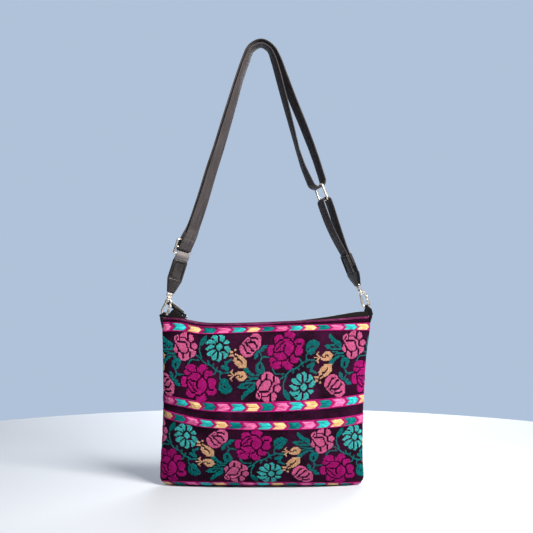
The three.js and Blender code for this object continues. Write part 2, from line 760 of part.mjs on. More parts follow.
addPiece('corner_tab_left', cornerTab(-1), 'ribbon');
addPiece('corner_tab_right', cornerTab(1), 'ribbon');

bag.add(leftSide, rightSide);
addPiece('clasp_hook_left', claspHook(), 'metal', leftSide);
addPiece('clasp_gate_left', claspGate(), 'metal', leftSide);
addPiece('clasp_eye_left', claspEye(), 'metal', leftStrap);
addPiece('strap_tab_left', leatherTab(WEBBING_THICK), 'leather', leftStrap);
addPiece('strap_slider', strapSlider(), 'metal', leftStrap);
addPiece('clasp_hook_right', claspHook(), 'metal', rightSide);
addPiece('clasp_gate_right', claspGate(), 'metal', rightSide);
addPiece('clasp_eye_right', claspEye(), 'metal', rightStrap);
addPiece('strap_tab_right', leatherTab(2 * 1.7 + WEBBING_THICK), 'leather', rightStrap);
addPiece('strap_ring', strapRing(), 'metal', rightStrap);
addPiece('strap_loop', strapLoop(), 'webbing', rightStrap);
addPiece('strap_webbing', strapWebbing(), 'webbing');

export default bag;
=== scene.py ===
"""Embroidered crossbody bag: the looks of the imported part. Metres, +Z up, front towards -Y."""

import json
import math

import bmesh
import bpy
import numpy as np
from mathutils import Matrix, Vector


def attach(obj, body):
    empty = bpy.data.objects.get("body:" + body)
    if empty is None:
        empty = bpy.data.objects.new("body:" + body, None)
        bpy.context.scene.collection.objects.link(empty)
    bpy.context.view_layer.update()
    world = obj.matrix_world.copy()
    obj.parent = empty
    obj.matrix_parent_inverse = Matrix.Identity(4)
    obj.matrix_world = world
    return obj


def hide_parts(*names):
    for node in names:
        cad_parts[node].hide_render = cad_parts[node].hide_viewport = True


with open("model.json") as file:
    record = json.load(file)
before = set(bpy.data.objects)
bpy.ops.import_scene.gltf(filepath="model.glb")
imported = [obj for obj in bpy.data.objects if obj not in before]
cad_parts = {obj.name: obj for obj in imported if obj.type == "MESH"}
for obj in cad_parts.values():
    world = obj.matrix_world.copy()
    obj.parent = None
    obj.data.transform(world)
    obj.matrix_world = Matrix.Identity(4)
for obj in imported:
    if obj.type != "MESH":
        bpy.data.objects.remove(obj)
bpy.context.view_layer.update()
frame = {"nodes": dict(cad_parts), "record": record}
MM = 0.001
chance = np.random.default_rng(11)
scene = bpy.context.scene
scene.view_settings.view_transform = "Standard"

# Camera: level, opposite the middle of the picture
CAMERA_AWAY = 1.5
CAMERA_X = 0.0075
CAMERA_Z = -0.2992
SEEN_WIDTH = 0.7249
lens = bpy.data.cameras.new("camera")
lens.sensor_width = 36
lens.lens = lens.sensor_width * CAMERA_AWAY / SEEN_WIDTH
camera = bpy.data.objects.new("camera", lens)
camera.location = (CAMERA_X, -CAMERA_AWAY, CAMERA_Z)
camera.rotation_euler = (math.pi / 2, 0, 0)
scene.collection.objects.link(camera)
scene.camera = camera


# Material helpers
def linear(code):
    """An sRGB hex colour as linear RGBA."""
    parts = [int(code[k:k + 2], 16) / 255 for k in (1, 3, 5)]
    bent = [c / 12.92 if c <= 0.04045 else ((c + 0.055) / 1.055) ** 2.4 for c in parts]
    return (*bent, 1)


def add(tree, kind, inputs, to=None, **settings):
    """Adds a node with its settings; an input is a value or another node's output, to is what it feeds."""
    made = tree.nodes.new(kind)
    for name, value in settings.items():
        setattr(made, name, value)
    for name, value in inputs.items():
        if isinstance(value, bpy.types.NodeSocket):
            tree.links.new(value, made.inputs[name])
        else:
            made.inputs[name].default_value = value
    if to is not None:
        tree.links.new(next(out for out in made.outputs if out.enabled), to)
    return made


def start_material(name, **sockets):
    """A new material whose shader has constant values on its own sockets."""
    material = bpy.data.materials.new(name)
    material.use_nodes = True
    tree = material.node_tree
    shader = tree.nodes["Principled BSDF"]
    for socket, value in sockets.items():
        shader.inputs[socket.replace("_", " ")].default_value = value
    return material, tree, shader.inputs


# Places of the factor and the two colours among a colour mix's inputs
MIX_SHARE, MIX_DARK, MIX_LIGHT = 0, 6, 7
# Length of one wave of a wave texture whose scale is 1
WAVE_LENGTH = math.tau / 20


def repeats(size):
    """How often a pattern of a size in millimetres repeats in a metre."""
    return 1 / (size * MM)


def tint(tree, sockets, pattern, low, high, dark, light):
    """Colours a surface from dark to light as a pattern goes from low to high."""
    share = add(tree, "ShaderNodeMapRange", {"Value": pattern, "From Min": low, "From Max": high})
    colours = {MIX_SHARE: share.outputs[0], MIX_DARK: linear(dark), MIX_LIGHT: linear(light)}
    add(tree, "ShaderNodeMix", colours, to=sockets["Base Color"], data_type="RGBA")


def mean(tree, first, second):
    """The mean of two patterns."""
    half = add(tree, "ShaderNodeMath", {0: second, 1: 0.5}, operation="MULTIPLY").outputs[0]
    return add(tree, "ShaderNodeMath", {0: first, 1: 0.5, 2: half}, operation="MULTIPLY_ADD").outputs[0]


# Materials
def cut_velvet(name, deep, brushed, halo):
    """Cotton velvet: a dark upright pile that goes pale where it is brushed over or seen at a slant."""
    material, tree, sockets = start_material(
        name, Roughness=0.95, Sheen_Weight=0.22, Sheen_Roughness=0.3, Sheen_Tint=linear(halo),
        Specular_IOR_Level=0.08,
    )
    place = add(tree, "ShaderNodeTexCoord", {}).outputs["Object"]
    # Brushed patches are about 26 mm wide
    brushing = add(tree, "ShaderNodeTexNoise",
                   {"Vector": place, "Scale": repeats(26.316), "Detail": 4, "Roughness": 0.62})
    # The pile is about 0.2 mm thick; it is drawn at 1.4 mm so that it shows
    pile = add(tree, "ShaderNodeTexNoise", {"Vector": place, "Scale": repeats(1.3889), "Detail": 2})
    both = mean(tree, pile.outputs["Fac"], brushing.outputs["Fac"])
    tint(tree, sockets, both, 0.42, 0.68, deep, brushed)
    add(tree, "ShaderNodeBump", {"Height": pile.outputs["Fac"], "Strength": 0.5, "Distance": 0.0005},
        to=sockets["Normal"])
    return material


def spun_thread(name, shade, tone, roughness, grain=1):
    """Stranded thread: fine fibres, some lighter or darker, drawn out along X where grain is below 1."""
    material, tree, sockets = start_material(name, Roughness=roughness, Specular_IOR_Level=0.06)
    spot = add(tree, "ShaderNodeTexCoord", {}).outputs["Object"]
    place = add(tree, "ShaderNodeVectorMath", {0: spot, 1: (grain, 1, 1)}, operation="MULTIPLY").outputs[0]
    # Fibres are about 0.05 mm; they are drawn at 0.6 mm so that they show, and the dye's patches at 1.6 mm
    fibres = add(tree, "ShaderNodeTexNoise", {"Vector": place, "Scale": repeats(0.58824), "Detail": 2})
    dye = add(tree, "ShaderNodeTexNoise", {"Vector": place, "Scale": repeats(1.6129), "Detail": 2})
    both = mean(tree, fibres.outputs["Fac"], dye.outputs["Fac"])
    tint(tree, sockets, both, 0.4, 0.6, shade, tone)
    add(tree, "ShaderNodeBump", {"Height": fibres.outputs["Fac"], "Strength": 0.35, "Distance": 0.0002},
        to=sockets["Normal"])
    return material


def woven(name, dark, light, rib, yarn, roughness, sheen):
    """Woven band: ribs across it and yarns along it, sized in mm, read from the band's own map in metres."""
    material, tree, sockets = start_material(
        name, Roughness=roughness, Sheen_Weight=sheen, Sheen_Roughness=0.4, Specular_IOR_Level=0.2,
    )
    flat = add(tree, "ShaderNodeUVMap", {}, uv_map="cloth").outputs["UV"]
    waves = []
    for size, direction, unevenness in [(rib, "X", 0.6), (yarn, "Y", 0.4)]:
        scale = WAVE_LENGTH * repeats(size)
        waves.append(add(tree, "ShaderNodeTexWave",
                         {"Vector": flat, "Scale": scale, "Distortion": unevenness, "Detail": 1},
                         bands_direction=direction).outputs["Fac"])
    weave = add(tree, "ShaderNodeMath", {0: waves[0], 1: waves[1]}, operation="MULTIPLY")
    # Wear runs along the band in streaks about 2 mm wide and 33 mm long
    stretched = add(tree, "ShaderNodeVectorMath", {0: flat, 1: (repeats(33.333), repeats(2.0833), 1)},
                    operation="MULTIPLY")
    wear = add(tree, "ShaderNodeTexNoise", {"Vector": stretched.outputs[0], "Scale": 1, "Detail": 4})
    tone = add(tree, "ShaderNodeMath", {0: weave.outputs[0], 1: 0.4, 2: wear.outputs["Fac"]},
               operation="MULTIPLY_ADD")
    tint(tree, sockets, tone.outputs[0], 0.19, 1.07, dark, light)
    add(tree, "ShaderNodeBump", {"Height": weave.outputs[0], "Strength": 0.15, "Distance": 0.0003},
        to=sockets["Normal"])
    return material


def coated_leather(name, dark, light):
    """Chrome-tanned leather with a satin coat: fine pebbled grain, a little paler where it is rubbed."""
    material, tree, sockets = start_material(name, Roughness=0.42, Specular_IOR_Level=0.45)
    place = add(tree, "ShaderNodeTexCoord", {}).outputs["Object"]
    # Pebbles of the grain are about 0.6 mm, rubbed patches about 8 mm
    pebbles = add(tree, "ShaderNodeTexVoronoi", {"Vector": place, "Scale": repeats(0.625)})
    rub = add(tree, "ShaderNodeTexNoise", {"Vector": place, "Scale": repeats(8.3333), "Detail": 5})
    tint(tree, sockets, rub.outputs["Fac"], 0.35, 0.75, dark, light)
    add(tree, "ShaderNodeBump", {"Height": pebbles.outputs["Distance"], "Strength": 0.35, "Distance": 0.0003},
        to=sockets["Normal"])
    return material


def plated_zinc(name, shade, tone):
    """Cast zinc with pale gold plate: bright and soft, with slow waves from casting and tumbling."""
    material, tree, sockets = start_material(name, Metallic=1.0)
    place = add(tree, "ShaderNodeTexCoord", {}).outputs["Object"]
    # Casting waves are about 3 mm long
    waves = add(tree, "ShaderNodeTexNoise", {"Vector": place, "Scale": repeats(3.0303), "Detail": 3})
    tint(tree, sockets, waves.outputs["Fac"], 0.3, 0.65, shade, tone)
    add(tree, "ShaderNodeMapRange", {"Value": waves.outputs["Fac"], "To Min": 0.34, "To Max": 0.46},
        to=sockets["Roughness"])
    add(tree, "ShaderNodeBump", {"Height": waves.outputs["Fac"], "Strength": 0.02, "Distance": 0.0005},
        to=sockets["Normal"])
    return material


def moulded_plastic(name, dark, light, roughness):
    """Moulded nylon: a fine eroded texture with a dull shine."""
    material, tree, sockets = start_material(name, Roughness=roughness, Specular_IOR_Level=0.45)
    place = add(tree, "ShaderNodeTexCoord", {}).outputs["Object"]
    # Spark-eroded grain is about 0.15 mm; it is drawn at 0.5 mm so that it shows
    grain = add(tree, "ShaderNodeTexNoise", {"Vector": place, "Scale": repeats(0.5), "Detail": 3})
    tint(tree, sockets, grain.outputs["Fac"], 0.3, 0.7, dark, light)
    add(tree, "ShaderNodeBump", {"Height": grain.outputs["Fac"], "Strength": 0.2, "Distance": 0.0002},
        to=sockets["Normal"])
    return material


VELVET = cut_velvet("cut_velvet", "#0d010b", "#3a0d30", "#7d3a72")
# Painted highlight: the hem's rim is a lighter copy of the same velvet, standing in for the light that falls
# on it from above
HEM_VELVET_PAINTED_HIGHLIGHT = cut_velvet("hem_velvet_painted_highlight", "#3c0d2b", "#843a69", "#b06f9c")
WEBBING = woven("polyester_webbing", "#1b1a1b", "#534e51", 1.1, 0.9, 0.6, 0.06)
# Painted highlight: a lighter copy of the webbing for where it turns over the slider's lower bar and catches
# the light
WEBBING_PAINTED_HIGHLIGHT = woven("webbing_painted_highlight", "#585457", "#8a8689", 1.1, 0.9, 0.6, 0.06)
ZIP_CLOTH = woven("zip_tape_twill", "#040304", "#0d0c0d", 0.8, 0.6, 0.85, 0.03)
RIBBON = woven("grosgrain_ribbon", "#020203", "#080708", 1, 0.5, 0.75, 0.03)
LEATHER = coated_leather("coated_leather", "#1a1718", "#343032")
METAL = plated_zinc("plated_zinc", "#cfc4b4", "#ebe3d8")
ZIP_PLASTIC = moulded_plastic("zip_nylon", "#080708", "#151415", 0.42)
LEATHER_THREAD = spun_thread("leather_sewing_thread", "#060506", "#161415", 0.6)
WEBBING_THREAD = spun_thread("webbing_sewing_thread", "#4b484b", "#7d797c", 0.6)
# Cross-stitch threads are matt
THREADS = {
    dye: spun_thread(f"thread_{dye}", shade, tone, 0.6)
    for dye, shade, tone in [
        ("magenta", "#8c0660", "#e426a0"), ("pink", "#cc4a88", "#ff90c6"),
        ("turquoise", "#24a0a0", "#60f0f0"), ("cream", "#c8966a", "#ffdab2"), ("teal", "#005056", "#02a2a4"),
    ]
}
# Satin threads are glossier and lie along the bands, so their fibres show as long streaks
SATIN_GRAIN = 0.1
SATIN_THREADS = {
    dye: spun_thread(f"satin_{dye}", shade, tone, gloss, SATIN_GRAIN)
    for dye, shade, tone, gloss in [
        ("border", "#80084e", "#be1a80", 0.42), ("pink", "#b43e7c", "#f68cc0", 0.4),
        ("turquoise", "#088688", "#42d8d8", 0.4), ("cream", "#be8e50", "#f8dcaa", 0.4),
        ("teal", "#004c50", "#02908f", 0.4),
    ]
}


# Mesh helpers; shapes are made in millimetres
def show(name, mesh, materials):
    """Makes a mesh an object with its materials, smooth and with its faces turned outwards."""
    for material in materials:
        mesh.materials.append(material)
    mesh.shade_smooth()
    work = bmesh.new()
    work.from_mesh(mesh)
    bmesh.ops.recalc_face_normals(work, faces=work.faces)
    work.to_mesh(mesh)
    work.free()
    made = bpy.data.objects.new(name, mesh)
    scene.collection.objects.link(made)
    return made


def carry(made, body, node=None):
    """Lets an object move with a body and, where a CAD node is named, stand for it; returns it."""
    if node is not None:
        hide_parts(node)
    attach(made, body)
    return made


class Shape:
    """Points and faces that are gathered for one piece."""

    def __init__(self):
        self.points = []
        self.faces = []
        self.flat = []

    def take(self, points, faces, flat=None, matrix=None):
        """Adds points, faces and places on the flat cloth, moved by a matrix where one is given."""
        first = len(self.points)
        if matrix is not None:
            points = [matrix @ Vector(point) for point in points]
        self.points.extend(tuple(point) for point in points)
        self.faces.extend(tuple(first + k for k in face) for face in faces)
        self.flat.extend(flat if flat is not None else [(0, 0)] * len(points))
        return self

    def piece(self, name, *materials):
        """Makes the gathered shape an object."""
        mesh = bpy.data.meshes.new(name)
        mesh.from_pydata([(x * MM, y * MM, z * MM) for x, y, z in self.points], [], self.faces)
        layer = mesh.uv_layers.new(name="cloth")
        ends = np.empty(len(mesh.loops), np.int32)
        mesh.loops.foreach_get("vertex_index", ends)
        flat = np.array(self.flat, np.float32)[ends] * MM
        layer.uv.foreach_set("vector", flat.ravel())
        return show(name, mesh, materials)


def unit(vectors):
    """Vectors brought to length 1."""
    return vectors / np.maximum(np.linalg.norm(vectors, axis=-1, keepdims=True), 1e-9)


def ease(t):
    """A smooth step from 0 to 1."""
    return t * t * (3 - 2 * t)


def spots_at(x, y, z):
    """Points from their coordinates, any of which may be one value for all."""
    return np.stack(np.broadcast_arrays(x, y, z), -1).astype(float)


def run_along(points):
    """How far along a path each of its points lies."""
    return np.concatenate([[0], np.cumsum(np.linalg.norm(np.diff(points, axis=0), axis=1))])


def rotation(degrees, axis):
    """A turn round an axis."""
    return Matrix.Rotation(math.radians(degrees), 4, axis)


def smooth_path(points, per):
    """A curve through points with per steps between each two, even where the points are uneven."""
    points = np.asarray(points, float)
    ends = np.vstack([2 * points[:1] - points[1:2], points, 2 * points[-1:] - points[-2:-1]])
    steps = np.linalg.norm(np.diff(ends, axis=0), axis=1)[:, None] ** 0.5
    steps = np.maximum(steps, 1e-6)
    made = []
    for k in range(1, len(ends) - 2):
        before, here, there, after = ends[k - 1:k + 3]
        d0, d1, d2 = steps[k - 1], steps[k], steps[k + 1]
        leave = ((here - before) / d0 - (there - before) / (d0 + d1) + (there - here) / d1) * d1
        reach = ((there - here) / d1 - (after - here) / (d1 + d2) + (after - there) / d2) * d1
        for t in np.arange(per) / per:
            share = ease(t)
            bend = t * (1 - t) * (leave * (1 - t) - reach * t)
            made.append(here * (1 - share) + there * share + bend)
    return np.array([*made, points[-1]])


def flat_ring(thickness, corner):
    """A flat strip's outline for a given width, with rounded edges."""
    def ring(width):
        """The outline's points, four rounded corners one after the other."""
        half = width / 2 - corner
        rise = thickness / 2 - corner
        places = []
        for k, (side, face) in enumerate([(1, 1), (-1, 1), (-1, -1), (1, -1)]):
            for step in range(3):
                angle = math.pi / 2 * (k + step / 2)
                across = side * half + corner * math.cos(angle)
                places.append((across, face * rise + corner * math.sin(angle)))
        return np.array(places)
    return ring


def round_ring(radius, steps=14):
    """A round wire's outline, scaled by the width."""
    angles = np.arange(steps) / steps * math.tau
    return lambda width: width * radius * np.stack([np.cos(angles), np.sin(angles)], 1)


def ring_faces(rings, size, closed=False):
    """Faces over rings of points, with flat ends where the last ring doesn't lead back to the first."""
    faces = []
    for k in range(rings if closed else rings - 1):
        here, there = k * size, (k + 1) % rings * size
        for j in range(size):
            n = (j + 1) % size
            faces.append((here + j, here + n, there + n, there + j))
    if not closed:
        faces.append(tuple(range(size - 1, -1, -1)))
        faces.append(tuple(range((rings - 1) * size, rings * size)))
    return faces


def sweep(points, across, widths, ring, closed=False):
    """A skin along points; across is the direction of the ring's width at each point."""
    points = np.asarray(points, float)
    across = unit(np.broadcast_to(np.asarray(across, float), points.shape).copy())
    widths = np.broadcast_to(np.asarray(widths, float), len(points))
    if closed:
        along = unit(np.roll(points, -1, 0) - np.roll(points, 1, 0))
    else:
        along = unit(np.gradient(points, axis=0))
    out = unit(np.cross(across, along))
    run = run_along(points)
    made, flat = [], []
    for k in range(len(points)):
        outline = ring(widths[k])
        made.extend(points[k] + outline[:, :1] * across[k] + outline[:, 1:] * out[k])
        flat.extend((run[k], place[0]) for place in outline)
    return made, ring_faces(len(points), len(outline), closed), flat


def wall_between(outer, inner):
    """A closed wall between two grids of points, and the grid row of each face."""
    rows, columns = outer.shape[:2]
    layer = rows * columns
    at = np.arange(layer).reshape(rows, columns)
    faces, face_rows = [], []
    for row in range(rows - 1):
        for column in range(columns - 1):
            a, b = at[row, column], at[row, column + 1]
            c, d = at[row + 1, column + 1], at[row + 1, column]
            faces += [(a, b, c, d), (a + layer, d + layer, c + layer, b + layer)]
        for column in (0, columns - 1):
            a, d = at[row, column], at[row + 1, column]
            faces.append((a, d, d + layer, a + layer))
        face_rows += [row] * (2 * columns)
    for row in (0, rows - 1):
        for column in range(columns - 1):
            a, b = at[row, column], at[row, column + 1]
            faces.append((a, a + layer, b + layer, b))
        face_rows += [row] * (columns - 1)
    points = np.concatenate([outer.reshape(-1, 3), inner.reshape(-1, 3)])
    return points, [tuple(int(k) for k in face) for face in faces], face_rows


def turned(profile, steps=24):
    """A body turned round Z from a profile of radius and height, closed at both ends."""
    angles = math.tau * np.arange(steps) / steps
    rings = [spots_at(radius * np.cos(angles), radius * np.sin(angles), height) for radius, height in profile]
    return np.concatenate(rings), ring_faces(len(profile), steps)


# Edges of a plate that turn by more than this angle are rounded
SHARP = 0.7


def bevelled(outline, low, high, bevel):
    """A plate from an outline in X and Z, from low to high along Y, with rounded edges."""
    work = bmesh.new()
    ring = [work.verts.new((x, low, z)) for x, z in outline]
    top = [work.verts.new((x, high, z)) for x, z in outline]
    count = len(outline)
    work.faces.new(ring)
    work.faces.new(top[::-1])
    for k in range(count):
        n = (k + 1) % count
        work.faces.new((ring[n], ring[k], top[k], top[n]))
    bmesh.ops.recalc_face_normals(work, faces=work.faces)
    rim = [edge for edge in work.edges if edge.calc_face_angle(0) > SHARP]
    bmesh.ops.bevel(work, geom=rim, offset=bevel, segments=3, profile=0.5, affect="EDGES")
    work.verts.index_update()
    points = [tuple(v.co) for v in work.verts]
    faces = [tuple(v.index for v in face.verts) for face in work.faces]
    work.free()
    return points, faces


def arc(middle, radius, start, stop, steps):
    """Points of an arc in a plane, angles in degrees."""
    angles = np.radians(np.linspace(start, stop, steps))
    return [(middle[0] + radius * math.cos(a), middle[1] + radius * math.sin(a)) for a in angles]


# How a sewing stitch rises along its length, as a share of the thread's radius
STITCH_BOW = np.array([-0.5, 0.55, 0.8, 0.55, -0.5])


def sewn_row(path, outward, length=2.4, gap=0.8, radius=0.32):
    """Points and faces of a row of sewing stitches along a path, each sunk in at its ends."""
    row = Shape()
    path = np.asarray(path, float)
    run = run_along(path)
    count = max(int(run[-1] / (length + gap)), 1)
    pitch = run[-1] / count
    for k in range(count):
        ends = np.linspace(k * pitch, k * pitch + pitch - gap, len(STITCH_BOW))
        spots = np.stack([np.interp(ends, run, path[:, axis]) for axis in range(3)], 1)
        spots = spots + np.asarray(outward) * (STITCH_BOW * radius)[:, None]
        along = unit(spots[-1] - spots[0])
        row.take(*sweep(spots, np.cross(along, outward), 1, round_ring(radius, 6)))
    return row.points, row.faces


# Flowers: leaves are drawn on a sheet with 12 units to 1.36 mm, flower heads on one with 24 units.
# Ovals are middle and half sizes, petals are outlines, strokes are thread lines and lines stay bare.
SHEET = 1.36 / 12
HEAD_ZOOM = 2
STITCHES_ACROSS = 84
STITCH_ROWS = 65
REPEAT = 120
STITCH = REPEAT / STITCHES_ACROSS
MIDDLE_LINE = 418
# In stitches: how far petals reach past their outlines, and half the width of strokes and of bare lines
GROW = 0.3
STROKE = 0.62
BARE_LINE = 0.8

GREAT_ROSE = {
    "thread": "magenta",
    "middle": (535, 530),
    "ovals": [
        (345, 235, 112, 97), (600, 165, 150, 88), (865, 345, 125, 112), (855, 540, 105, 122),
        (755, 740, 112, 92), (615, 850, 122, 132), (325, 850, 162, 92), (215, 735, 95, 72),
        (160, 495, 82, 136), (500, 525, 345, 335),
    ],
    "lines": [
        [(458, 130), (475, 222), (598, 226), (640, 272), (708, 310), (756, 400), (756, 520), (700, 592),
         (640, 648), (600, 676), (545, 625), (500, 570), (466, 530), (340, 552)],
        [(515, 385), (478, 450), (486, 520)],
        [(440, 266), (375, 270), (322, 312), (255, 385), (236, 470), (240, 545), (330, 566)],
        [(225, 560), (222, 640), (160, 655)],
        [(225, 640), (290, 690), (330, 720)],
        [(600, 676), (565, 722), (520, 756), (270, 756), (215, 800)],
        [(446, 770), (440, 885)],
        [(640, 660), (640, 790), (690, 836)],
        [(735, 590), (750, 632), (790, 672), (890, 672)],
        [(690, 836), (745, 850)],
        [(798, 376), (904, 366)],
        [(760, 215), (735, 250), (712, 310)],
        [(756, 400), (800, 415)],
        [(246, 340), (212, 352)],
        [(482, 310), (420, 352), (372, 384)],
        [(400, 420), (340, 444), (300, 500)],
        [(396, 485), (396, 486)],
    ],
}
ROSE = {
    "thread": "pink",
    "middle": (410, 470),
    "grow": 0.5,
    "petals": [
        [(268, 226), (330, 160), (400, 120), (442, 150), (446, 200), (474, 236), (420, 278), (398, 236)],
        [(480, 190), (530, 162), (580, 190), (602, 250), (590, 310), (548, 342), (500, 300), (474, 260)],
        [(118, 300), (140, 232), (200, 214), (240, 240), (242, 320), (214, 342), (196, 388), (150, 372)],
        [(262, 275), (402, 275), (440, 330), (500, 384), (528, 440), (524, 512), (490, 510), (462, 430),
         (412, 366), (262, 350)],
        [(165, 385), (404, 390), (436, 424), (450, 480), (476, 512), (486, 566), (456, 606), (416, 614),
         (330, 620), (272, 590), (232, 530), (190, 450)],
        [(148, 462), (190, 512), (234, 572), (214, 622), (180, 642), (128, 570)],
        [(232, 600), (290, 640), (346, 652), (336, 740), (366, 760), (390, 812), (330, 806), (268, 752)],
        [(384, 650), (450, 640), (500, 592), (530, 600), (530, 720), (480, 772), (410, 816), (380, 770)],
        [(556, 372), (660, 354), (706, 420), (690, 480), (630, 512), (580, 486), (556, 440)],
        [(530, 516), (600, 512), (668, 556), (674, 620), (606, 692), (566, 704), (556, 600)],
    ],
    "lines": [
        [(165, 325), (196, 268)],
        [(250, 232), (252, 300), (250, 345)],
        [(262, 252), (398, 252), (430, 290), (480, 322), (542, 374), (548, 490), (570, 494)],
        [(210, 362), (410, 370), (442, 420), (466, 484), (502, 545), (480, 606), (432, 634), (330, 640),
         (270, 602), (220, 535), (170, 442), (125, 395)],
        [(240, 590), (222, 645)],
        [(362, 652), (358, 762)],
        [(540, 590), (546, 712)],
        [(458, 130), (462, 232), (474, 300)],
        [(560, 350), (602, 345)],
        [(570, 500), (630, 516)],
    ],
}
DAISY = {
    "thread": "turquoise",
    "grow": 0,
    "middle": (430, 380),
    "ovals": [(430, 380, 76, 84)],
    "petals": [
        [(205, 155), (260, 94), (350, 92), (392, 120), (386, 230), (374, 270), (318, 240), (290, 180)],
        [(410, 96), (500, 94), (552, 130), (546, 200), (500, 266), (440, 242), (430, 150)],
        [(524, 292), (560, 250), (610, 208), (672, 258), (666, 310), (540, 316)],
        [(552, 362), (640, 358), (702, 420), (702, 500), (670, 536), (610, 490), (560, 420)],
        [(474, 492), (560, 478), (600, 520), (662, 560), (650, 620), (600, 672), (550, 660), (545, 580),
         (520, 530)],
        [(430, 500), (488, 524), (506, 570), (500, 680), (440, 742), (388, 716), (396, 680), (430, 660),
         (440, 600)],
        [(388, 480), (390, 560), (386, 660), (330, 704), (280, 680), (232, 620), (280, 570), (330, 520)],
        [(250, 438), (330, 438), (352, 456), (300, 500), (240, 582), (150, 584), (112, 540), (170, 490)],
        [(88, 430), (120, 370), (180, 324), (260, 328), (324, 375), (250, 402), (190, 422), (140, 466)],
        [(88, 280), (130, 210), (200, 194), (290, 224), (348, 292), (310, 312), (260, 285), (190, 280),
         (150, 290), (110, 318)],
    ],
}
ROSEBUD = {
    "thread": "pink",
    "middle": (350, 420),
    "petals": [
        [(138, 345), (270, 214), (312, 240), (340, 195), (380, 160), (430, 146), (510, 148), (572, 190),
         (602, 240), (607, 420), (545, 490), (480, 542), (430, 602), (380, 662), (320, 692), (240, 692),
         (180, 640), (108, 570), (93, 520), (93, 430), (120, 400), (170, 400)],
    ],
    "lines": [
        [(300, 185), (335, 246), (380, 240), (470, 236), (512, 276)],
        [(250, 364), (300, 342), (440, 346), (470, 390), (512, 440), (500, 462)],
        [(235, 385), (290, 424), (340, 474), (400, 540), (430, 546)],
        [(128, 385), (180, 420), (205, 490), (240, 540), (270, 586), (352, 612)],
        [(275, 275), (276, 276)],
        [(240, 310), (241, 311)],
        [(205, 345), (206, 346)],
        [(345, 290), (346, 300)],
    ],
}
CREAM_BUDS = {
    "thread": "cream",
    "grow": 0,
    "middle": (0, 0),
    "petals": [
        [(148, 366), (204, 332), (188, 300), (185, 250), (225, 212), (260, 238), (330, 258), (400, 288),
         (450, 338), (508, 390), (508, 568), (470, 552), (330, 558), (300, 520), (258, 482), (218, 440)],
        [(76, 206), (90, 138), (140, 148), (172, 190), (150, 206)],
        [(198, 112), (238, 98), (238, 152), (200, 168)],
        [(64, 272), (90, 238), (182, 234), (192, 270), (130, 292)],
        [(213, 720), (240, 680), (310, 640), (430, 628), (480, 658), (512, 710), (544, 742), (522, 800),
         (480, 830), (450, 866), (350, 872), (318, 830), (268, 792), (258, 750)],
    ],
    "strokes": [
        [(112, 658), (172, 606)], [(150, 652), (186, 694)], [(80, 735), (150, 730)],
        [(165, 775), (208, 735)], [(125, 792), (178, 854)],
    ],
    "lines": [
        [(210, 262), (266, 302), (290, 345), (280, 372)],
        [(312, 342), (360, 392), (398, 430), (408, 464)],
        [(276, 730), (334, 724)],
        [(348, 762), (390, 776), (412, 752)],
    ],
}
LEAVES = {
    "thread": "teal",
    "middle": (0, 0),
    "grow": 0.08,
    "stroke": 0.72,
    "petals": [
        [(96, 24), (102, 75), (62, 130), (25, 152), (12, 120), (38, 60)],
        [(428, 306), (385, 328), (338, 346), (350, 386), (296, 388), (310, 420), (350, 442), (398, 448),
         (408, 430), (384, 400), (376, 372), (398, 346), (434, 322)],
        [(288, 600), (320, 555), (360, 538), (396, 560), (412, 610), (442, 640), (458, 665), (436, 700),
         (380, 722), (330, 712), (288, 670)],
        [(578, 436), (614, 396), (642, 438), (664, 470), (722, 508), (692, 528), (640, 492), (600, 462)],
        [(516, 652), (560, 608), (640, 588), (700, 588), (744, 600), (722, 640), (650, 658), (590, 668)],
        [(574, 794), (574, 740), (610, 694), (680, 650), (738, 640), (716, 690), (650, 722), (610, 762)],
        [(785, 346), (822, 390), (848, 440), (842, 482), (800, 504), (750, 482), (728, 440), (733, 390)],
        [(776, 198), (820, 158), (868, 158), (852, 192), (800, 208)],
        [(718, 334), (702, 290), (718, 248), (748, 238), (752, 290)],
    ],
    "strokes": [
        [(22, 146), (14, 190), (22, 236), (50, 290)],
        [(-40, 262), (20, 290), (66, 336), (130, 374), (190, 392), (238, 440), (330, 480), (416, 470)],
        [(134, 330), (150, 374)], [(204, 374), (196, 396)], [(262, 408), (232, 434)],
        [(212, 492), (244, 456)],
        [(306, 480), (294, 520), (308, 562)],
        [(690, 518), (772, 514)], [(628, 526), (680, 546), (764, 552)], [(622, 574), (690, 562), (744, 540)],
        [(785, 350), (800, 308), (830, 298), (884, 304)],
        [(802, 296), (780, 252), (744, 232)], [(744, 226), (822, 220)],
        [(936, 436), (960, 482), (992, 508), (1074, 510)],
        [(400, 345), (420, 318)],
    ],
    "lines": [
        [(318, 606), (322, 612)], [(345, 632), (378, 648)],
        [(598, 632), (640, 620)], [(650, 646), (692, 620)],
        [(782, 400), (784, 436)],
    ],
}
# Layers of the pattern: drawing, place on the sheet, zoom, and -1 where it is turned over
LAYERS = [
    [(LEAVES, (0, 0), 1, 1)],
    [(GREAT_ROSE, (38, 596), HEAD_ZOOM, -1), (DAISY, (265, 166), HEAD_ZOOM, 1),
     (ROSEBUD, (655, 162), HEAD_ZOOM, 1), (ROSE, (892, 650), HEAD_ZOOM, -1),
     (CREAM_BUDS, (360, 144), HEAD_ZOOM, 1)],
]
THREAD_NAMES = ["bare", *THREADS]


def inside(points, x, y):
    """Which places lie inside a closed outline."""
    hit = np.zeros(x.shape, bool)
    for (ax, ay), (bx, by) in zip(points, points[1:] + points[:1]):
        crosses = (ay > y) != (by > y)
        rise = by - ay if by != ay else 1e-9
        hit ^= crosses & (x < ax + (y - ay) * (bx - ax) / rise)
    return hit


